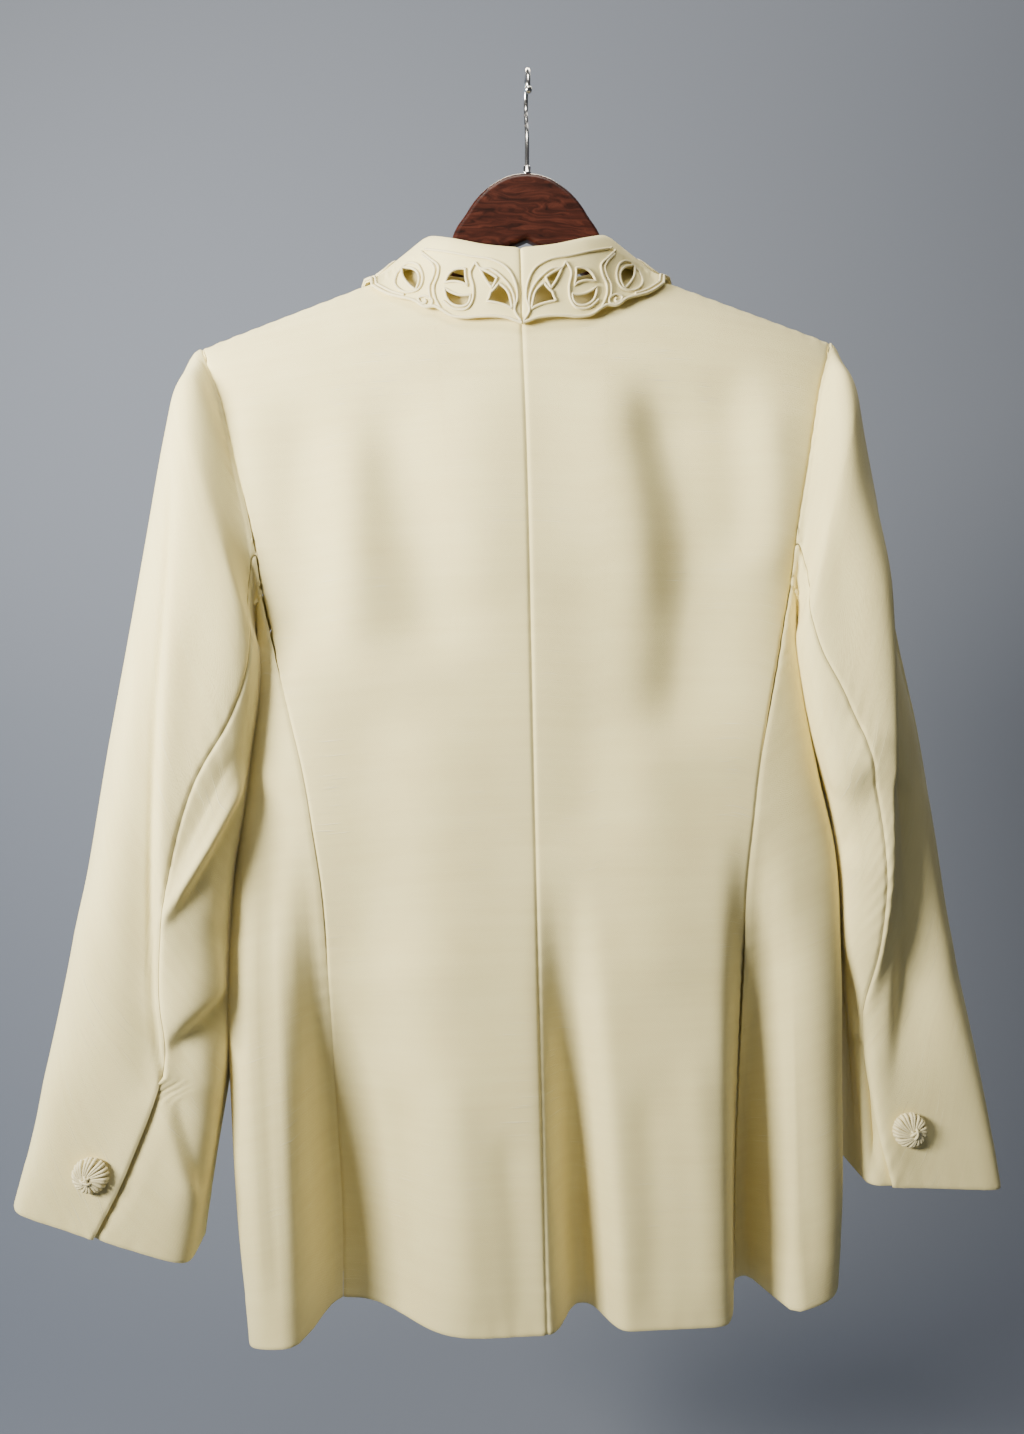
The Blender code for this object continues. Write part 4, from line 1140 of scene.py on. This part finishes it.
def dome(radius_share):
    """Height of the button's dome at a share of its radius."""
    rise = np.sqrt(np.clip(1 - radius_share**2, 0, 1))
    return BUTTON_RIM + (BUTTON_HEIGHT - BUTTON_RIM - BUTTON_CLEARANCE) * rise


def button_core():
    """Points, faces and flat places of the core, whose back lies on z = 0."""
    rings = [(BUTTON_RADIUS * s * CORE_WIDTH, dome(s) - CORE_SINK) for s in CORE_SHARES]
    radius, height = np.array([*rings, *CORE_BACK]).T[..., None]
    turns = np.arange(BUTTON_SIDES) * 2 * math.pi / BUTTON_SIDES
    base = np.stack([radius * np.cos(turns), radius * np.sin(turns), height + 0 * turns], axis=-1)
    index = np.arange(len(base) * BUTTON_SIDES).reshape(-1, BUTTON_SIDES)
    faces = [face[::-1] for face in quads(index[1:-2], index[2:-1])]
    faces += [index[1].tolist(), index[-2, ::-1].tolist()]
    points = base.reshape(-1, 3)
    return points, faces, points[:, :2]


def button_cords():
    """The cords that run from the rim to the knot, and the knot's own over them."""
    knot = np.array(KNOT_OFFSET)
    parts = []
    t = np.linspace(0, 1, BUTTON_CORD_POINTS)
    for k in range(BUTTON_CORDS):
        turn = 2 * math.pi * k / BUTTON_CORDS + SPACING_DRIFT * math.sin(k * SPACING_STEP)
        rim = heading(turn) * (BUTTON_RADIUS - RIM_CORD_RADIUS)
        core = knot + KNOT_RADIUS * heading(turn + BUTTON_SWIRL)
        bend = (rim + core) / 2 + BUTTON_BOW * heading(turn + math.pi / 2)
        flat = bow(rim, bend, core, t[:, None])
        share = np.linalg.norm(flat, axis=1) / BUTTON_RADIUS
        tuck = RIM_TUCK * np.clip(1 - t / RIM_TUCK_SHARE, 0, 1) ** 2 + KNOT_TUCK * t**4
        path = np.column_stack([flat, dome(share) - CORD_SINK - tuck])
        up = np.column_stack([flat / BUTTON_RADIUS * DOME_LEAN, np.full(len(t), DOME_UP)])
        radii = CORE_CORD_RADIUS + (RIM_CORD_RADIUS - CORE_CORD_RADIUS) * share
        parts.append(tube(path, up, radii))
    s = np.linspace(-1, 1, KNOT_POINTS)
    for number, degrees in enumerate(KNOT_TURNS):
        turn = math.radians(degrees)
        bend = KNOT_BOW * np.cos(s * math.pi / 2) * (-1) ** number
        flat = knot + np.outer(s * KNOT_HALF, heading(turn))
        flat = flat + np.outer(bend, heading(turn + math.pi / 2))
        share = np.linalg.norm(flat, axis=1) / BUTTON_RADIUS
        z = dome(share) + KNOT_RISE - KNOT_DROOP * s**4 + KNOT_LAYER * number
        up = np.tile((0.0, 0.0, 1.0), (len(s), 1))
        parts.append(tube(np.column_stack([flat, z]), up, KNOT_CORD_RADIUS))
    return parts


def add_button(node, place, normal, satin, spin):
    points, faces, flat = joined([button_core(), *button_cords()])
    turn = Vector(normal).to_track_quat("Z", "Y").to_matrix() @ Matrix.Rotation(spin, 3, "Z")
    moved = points @ np.array(turn).T * MM + place + np.array(normal) * BUTTON_CLEARANCE * MM
    register(mesh_object(f"{node}_corded", moved, faces, satin, flat), node)


def surface_place(surface, x, drop):
    """The point and outward normal of a sleeve at the given x and drop on its back."""
    points = surface(*np.meshgrid(SEARCH_TURNS, SEARCH_RINGS, indexing="ij"))
    away = np.hypot(points[..., 0] - x, points[..., 2] + drop)
    i, j = np.unravel_index(np.argmin(away), away.shape)
    normal = normals_of(points)[i, j]
    return points[i, j], normal if normal[1] < 0 else -normal


def build_buttons(satin):
    lean = Matrix.Rotation(-HANG_ROLL, 3, "Y")
    for (side, word, rows, _), (x, drop, spin) in zip(SLEEVES, CUFF_BUTTONS):
        place, normal = surface_place(sleeve_surface(side, rows)[0], x, drop)
        add_button(f"cuff_button_{word}", hang(place), lean @ Vector(normal), satin, spin)
    for number, drop in enumerate(FRONT_BUTTON_DROPS, 1):
        above, y, below = front_y(HALF_GAP, np.array((drop - 1, drop, drop + 1)))
        normal = Vector((0, 1, (below - above) / 2)).normalized()
        spin = number * FRONT_BUTTON_SPIN
        add_button(f"front_button_{number}", hang((0, y, -drop)), normal, satin, spin)


# Hanger and hook

HANGER_THICKNESS = 11
HANGER_EDGE_ROUND = 3.4
HANGER_TOP = (
    (0, 67.2), (7, 67.9), (14, 69.8), (22, 74.2), (30, 80.4), (36, 87.2), (42, 96.5), (47.5, 104.5),
    (50.5, 112), (51.2, 119), (52.3, 127), (58, 134), (70, 138), (84, 141.8), (120, 154.5),
    (160, 170), (182, 179.2), (191, 184.2), (195, 190),
)
HANGER_UNDER = (
    (195, 196), (191, 200.5), (184, 202), (160, 194), (110, 174), (70, 154.5), (40, 135.5),
    (20, 121.5), (0, 112),
)
# Steps along the hanger's top and under lines
HANGER_TOP_STEP = 1.6
HANGER_UNDER_STEP = 2.4
BEVEL_STEPS = 5
WIRE_RADIUS = 1.5
RAIL_RADIUS = 12.5
HOOK_RADIUS = RAIL_RADIUS + WIRE_RADIUS
# Turns in degrees along the hook's bend, from its tip to its stem
HOOK_TURNS = range(-8, 223, 4)
HOOK_STEP = 1.5
HOOK_STEM = ((7.4, 29.0), (3.6, 34.6), (1.2, 40.5), (0.2, 47.0), (0, 54.0), (0, 66.9))
# The ball at the hook's tip: its turns from where the wire enters it to its far end
BALL_RADIUS = 2.6
BALL_TURNS = np.linspace(0.16, 1, 13) * math.pi
BALL_OFFSET = 0.3
LEAST_SHARE = 0.02
# The ferrule's rings: the distance below its top, and the radius as a share of the wire's
FERRULE_TOP_DROP = 61
FERRULE_RINGS = (
    (0, 1.0), (0.4, 1.55), (1.2, 1.75), (4.2, 1.75), (5.0, 2.1), (5.9, 2.1), (6.2, 1.9),
)


def add_curve(name, points, bevel, material):
    """A curve through points of x, y, z and a share of the bevel, in mm."""
    curve = bpy.data.curves.new(name, "CURVE")
    curve.dimensions = "3D"
    curve.bevel_depth = bevel * MM
    curve.bevel_resolution = BEVEL_STEPS
    curve.use_fill_caps = True
    curve.materials.append(material)
    spline = curve.splines.new("POLY")
    spline.points.add(len(points) - 1)
    for point, (x, y, z, share) in zip(spline.points, points):
        point.co = (x * MM, y * MM, z * MM, 1)
        point.radius = share
    return add_object(name, curve)


def build_hanger(wood):
    top = smooth_line(HANGER_TOP, HANGER_TOP_STEP)
    under = smooth_line(HANGER_UNDER, HANGER_UNDER_STEP)
    right = [*top, *under[1:]]
    left = [(-x, drop) for x, drop in right[-2:0:-1]]
    outline = [(x, -drop, 0, 1) for x, drop in right + left]
    obj = add_curve("hanger_wood", outline, HANGER_EDGE_ROUND, wood)
    curve = obj.data
    curve.dimensions = "2D"
    curve.fill_mode = "BOTH"
    curve.extrude = (HANGER_THICKNESS / 2 - HANGER_EDGE_ROUND) * MM
    curve.offset = -HANGER_EDGE_ROUND * MM
    curve.splines[0].use_cyclic_u = True
    obj.rotation_euler = (math.pi / 2, 0, 0)
    register(obj, "hanger_body")


def build_hook(steel):
    bend = [HOOK_RADIUS * heading(math.radians(180 - turn)) for turn in HOOK_TURNS]
    bend = [(y, z - RAIL_RADIUS) for y, z in bend]
    stem = [(y, -drop) for y, drop in HOOK_STEM]
    line = smooth_line(bend + stem, HOOK_STEP)
    away = unit(line[0] - line[1])
    ball = []
    for turn in BALL_TURNS:
        along = BALL_RADIUS * (math.cos(BALL_TURNS[0]) - math.cos(turn)) + BALL_OFFSET
        share = max(BALL_RADIUS * math.sin(turn) / WIRE_RADIUS, LEAST_SHARE)
        ball.append((0, *(line[0] + away * along), share))
    path = ball[::-1] + [(0, y, z, 1) for y, z in line]
    register(add_curve("hook_wire", path, WIRE_RADIUS, steel), "hanger_hook")
    path = [(0, 0, -FERRULE_TOP_DROP - below, share) for below, share in FERRULE_RINGS]
    register(add_curve("hook_ferrule", path, WIRE_RADIUS, steel))


# Materials


class Nodes:
    """Adds nodes to a material and links them in one call."""

    def __init__(self, name):
        self.material = bpy.data.materials.new(name)
        self.material.use_nodes = True
        self.tree = self.material.node_tree

    def set(self, node, key, value):
        if isinstance(value, bpy.types.NodeSocket):
            self.tree.links.new(value, node.inputs[key])
        else:
            node.inputs[key].default_value = value

    def fill(self, node, inputs):
        """Sets sockets by their names, with a low line for each space."""
        for key, value in inputs.items():
            self.set(node, key.replace("_", " "), value)

    def finish(self, **inputs):
        """Sets the shader's own sockets and gives the material."""
        self.fill(self.tree.nodes["Principled BSDF"], inputs)
        return self.material

    def add(self, kind, settings=None, **inputs):
        node = self.tree.nodes.new(kind)
        for key, value in (settings or {}).items():
            setattr(node, key, value)
        self.fill(node, inputs)
        return node

    def math(self, operation, *values):
        node = self.add("ShaderNodeMath", {"operation": operation})
        for k, value in enumerate(values):
            self.set(node, k, value)
        return node.outputs[0]

    def weighted(self, *terms):
        """The sum of values, each times its weight."""
        total = 0.0
        for value, weight in terms:
            total = self.math("MULTIPLY_ADD", value, weight, total)
        return total

    def above(self, value, start, gain):
        """How far a value is above a start, times a gain, kept between 0 and 1."""
        grown = self.math("MULTIPLY", self.math("SUBTRACT", value, start), gain)
        return self.add("ShaderNodeClamp", Value=grown).outputs[0]

    def noise(self, vector, scale, detail=2.0, stretch=(1, 1, 1)):
        mapped = self.add("ShaderNodeMapping", Vector=vector, Scale=stretch).outputs[0]
        return self.add("ShaderNodeTexNoise", Vector=mapped, Scale=scale, Detail=detail).outputs[0]

    def ramp(self, value, stops):
        node = self.add("ShaderNodeValToRGB", Fac=value)
        ramp = node.color_ramp
        while len(ramp.elements) < len(stops):
            ramp.elements.new(0.5)
        for element, (place, colour) in zip(ramp.elements, stops):
            element.position = place
            element.color = colour
        return node.outputs[0]

    def mix(self, share, a, b):
        node = self.add("ShaderNodeMix", {"data_type": "RGBA"})
        for k, value in ((0, share), (6, a), (7, b)):
            self.set(node, k, value)
        return node.outputs[2]

    def bump(self, height, strength, distance):
        node = self.add("ShaderNodeBump", Strength=strength, Distance=distance, Height=height)
        return node.outputs[0]

    def weave(self):
        """A piece's flat coordinates, as a vector and as its first two parts."""
        flat = self.add("ShaderNodeAttribute", {"attribute_name": "weave"}).outputs["Vector"]
        parts = self.add("ShaderNodeSeparateXYZ", Vector=flat)
        return flat, parts.outputs[0], parts.outputs[1]

    def place(self):
        return self.add("ShaderNodeTexCoord").outputs["Object"]


CREAM_LIT = (0.92, 0.825, 0.42, 1)
CREAM_DEEP = (0.79, 0.67, 0.315, 1)
CREAM_SLUB = (0.95, 0.90, 0.68, 1)
CREAM_SHEEN = (1.0, 0.97, 0.88, 1)
SATIN_LIT = (0.88, 0.79, 0.48, 1)
SATIN_DEEP = (0.70, 0.60, 0.31, 1)
WOOD_DEEP = (0.010, 0.003, 0.002, 1)
WOOD_STOPS = (
    (0.30, WOOD_DEEP), (0.50, (0.032, 0.008, 0.005, 1)), (0.72, (0.064, 0.017, 0.010, 1)),
)
STEEL_LIT = (0.70, 0.69, 0.68, 1)
STEEL_DEEP = (0.52, 0.51, 0.50, 1)
STAGE_COLOUR = (0.22, 0.24, 0.29, 1)
THREADS_PER_METRE = 1500
THREAD_WANDER = 0.0016
# Turns of the cord's ply for each mm along it
PLY_TURN = 5.2


def cloth_material():
    """Plain weave with sporadic slubs, on each piece's own flat coordinates in metres."""
    n = Nodes("cream_suiting")
    flat, *ways = n.weave()
    wander = n.math("MULTIPLY", n.noise(flat, 90), THREAD_WANDER)
    turn = math.pi * THREADS_PER_METRE
    warp, weft = (n.math("MULTIPLY", n.math("ADD", way, wander), turn) for way in ways)
    cross = n.math("MULTIPLY", n.math("SINE", warp), n.math("SINE", weft))
    fibre = n.noise(flat, 2600, 3.0)
    slub = n.above(n.noise(flat, 1, 2.0, (34, 950, 1)), 0.62, 7.0)
    slub = n.math("MULTIPLY", slub, n.above(n.noise(flat, 9, 1.0), 0.44, 5.0))
    streak = n.noise(flat, 1, 3.0, (7, 160, 1))
    mottle = n.noise(flat, 26, 3.0)
    shade = n.weighted((mottle, 0.45), (streak, 0.35), (fibre, 0.35), (cross, 0.04))
    colour = n.mix(n.above(shade, 0.32, 1.8), CREAM_DEEP, CREAM_LIT)
    colour = n.mix(n.math("MULTIPLY", slub, 0.8), colour, CREAM_SLUB)
    height = n.weighted((cross, 0.10), (fibre, 0.70), (slub, 1.1))
    return n.finish(
        Base_Color=colour, Normal=n.bump(height, 0.6, 0.00045), Roughness=0.82,
        Specular_IOR_Level=0.28, Sheen_Weight=0.22, Sheen_Roughness=0.45, Sheen_Tint=CREAM_SHEEN,
    )


def satin_material():
    """Glossy twisted cord."""
    n = Nodes("satin_cord")
    flat, along, turned = n.weave()
    ply = n.math("SINE", n.weighted((along, 2 * PLY_TURN), (turned, 2.0)))
    thread = n.noise(flat, 3.0, 3.0)
    height = n.weighted((ply, 0.5), (thread, 0.5))
    return n.finish(
        Base_Color=n.mix(thread, SATIN_DEEP, SATIN_LIT), Normal=n.bump(height, 0.5, 0.00018),
        Roughness=0.36, Specular_IOR_Level=0.5, Sheen_Weight=0.15, Anisotropic=0.5,
    )


def wood_material():
    """Red-brown stained wood under lacquer, its grain along the hanger."""
    n = Nodes("red_brown_wood")
    place = n.place()
    warp = n.noise(place, 14, 3.0, (1, 3, 3))
    bent = n.mix(0.06, place, n.add("ShaderNodeCombineXYZ", X=warp, Y=warp, Z=warp).outputs[0])
    grain = n.noise(bent, 1, 5.0, (22, 330, 330))
    pores = n.noise(bent, 1, 3.0, (120, 2400, 2400))
    colour = n.mix(n.math("MULTIPLY", pores, 0.35), n.ramp(grain, WOOD_STOPS), WOOD_DEEP)
    height = n.weighted((grain, 0.5), (pores, 0.5))
    return n.finish(
        Base_Color=colour, Normal=n.bump(height, 0.18, 0.0003), Roughness=0.34,
        Specular_IOR_Level=0.22, Coat_Weight=0.06, Coat_Roughness=0.12,
    )


def steel_material():
    """Polished steel with faint drawing marks."""
    n = Nodes("polished_steel")
    place = n.place()
    marks = n.noise(place, 1, 3.0, (2600, 2600, 300))
    worn = n.noise(place, 120, 2.0)
    rough = n.math("ADD", n.math("MULTIPLY", worn, 0.16), 0.12)
    return n.finish(
        Base_Color=n.mix(worn, STEEL_DEEP, STEEL_LIT), Metallic=1.0, Roughness=rough,
        Normal=n.bump(marks, 0.12, 0.0001),
    )


# Stage, light and camera

FLOOR_Z = -1.12
STAGE_FRONT_Y = -5
STAGE_HALF = 6
STAGE_STEPS = 12
BACKDROP_Y = 1.15
BACKDROP_ROUND = 0.7
BACKDROP_TOP = 4

# Area lights: name, place, target, size, power and colour
LIGHTS = (
    ("key", (-1.06, -0.68, -0.14), (-0.25, -0.1, 0.6), (0.5, 0.5), 88, (1.0, 0.965, 0.86)),
    ("top", (-0.08, -0.42, 0.62), (0, -0.05, -0.3), (0.6, 0.3), 8, (1.0, 0.965, 0.86)),
    ("cool_side", (-1.5, 0.25, -0.3), (-0.25, 0, -0.45), (0.8, 1.4), 9, (0.58, 0.76, 1.0)),
    ("front_side", (0.5, 0.95, 1.5), (0, 0, -0.4), (1.2, 1.2), 10, (1.0, 0.98, 0.95)),
    ("neck", (0, 0.22, 0.2), (0, 0, -0.16), (0.2, 0.1), 1.4, (1.0, 0.88, 0.66)),
)
WORLD_COLOUR = (0.84, 0.87, 0.92, 1)
WORLD_STRENGTH = 0.10
CAMERA_PLACE = (-0.0430, -0.7528, -0.4334)
CAMERA_TURN = math.radians(-2.5)
CAMERA_LENS = 28.0
CAMERA_SENSOR = 36.0


def build_stage():
    """A pale floor that curves up into a backdrop."""
    profile = [(STAGE_FRONT_Y, FLOOR_Z)]
    for turn in np.linspace(0, math.pi / 2, STAGE_STEPS + 1):
        y = BACKDROP_Y - BACKDROP_ROUND * (1 - math.sin(turn))
        profile.append((y, FLOOR_Z + BACKDROP_ROUND * (1 - math.cos(turn))))
    profile.append((BACKDROP_Y, BACKDROP_TOP))
    n = len(profile)
    mesh = bpy.data.meshes.new("stage")
    points = [(x, y, z) for x in (-STAGE_HALF, STAGE_HALF) for y, z in profile]
    mesh.from_pydata(points, [], [(i, i + 1, n + i + 1, n + i) for i in range(n - 1)])
    mesh.shade_smooth()
    mesh.materials.append(Nodes("pale_stage").finish(Base_Color=STAGE_COLOUR, Roughness=0.9))
    add_object("stage", mesh)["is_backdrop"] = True


def build_lights():
    for name, place, target, size, power, colour in LIGHTS:
        light = bpy.data.lights.new(name, "AREA")
        light.shape = "RECTANGLE"
        light.size, light.size_y = size
        light.energy = power
        light.color = colour
        obj = add_object(name, light)
        obj.location = place
        obj.rotation_euler = (Vector(target) - Vector(place)).to_track_quat("-Z", "Y").to_euler()
    world = bpy.data.worlds.new("studio")
    world.use_nodes = True
    background = world.node_tree.nodes["Background"]
    background.inputs["Color"].default_value = WORLD_COLOUR
    background.inputs["Strength"].default_value = WORLD_STRENGTH
    bpy.context.scene.world = world


def build_camera():
    camera = bpy.data.cameras.new("camera")
    camera.lens = CAMERA_LENS
    camera.sensor_width = CAMERA_SENSOR
    obj = add_object("camera", camera)
    obj.location = CAMERA_PLACE
    obj.rotation_euler = (math.pi / 2, 0, CAMERA_TURN)
    bpy.context.scene.camera = obj


def corners(box):
    return [list(corner) for corner in box]


for old in list(bpy.data.objects):
    bpy.data.objects.remove(old)
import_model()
cad_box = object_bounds()
build_camera()
cloth, satin = cloth_material(), satin_material()
build_body(cloth)
build_sleeves(cloth)
build_collar(cloth, satin)
build_buttons(satin)
build_hanger(wood_material())
build_hook(steel_material())
build_stage()
build_lights()
{"cad": corners(cad_box), "visual": corners(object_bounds())}
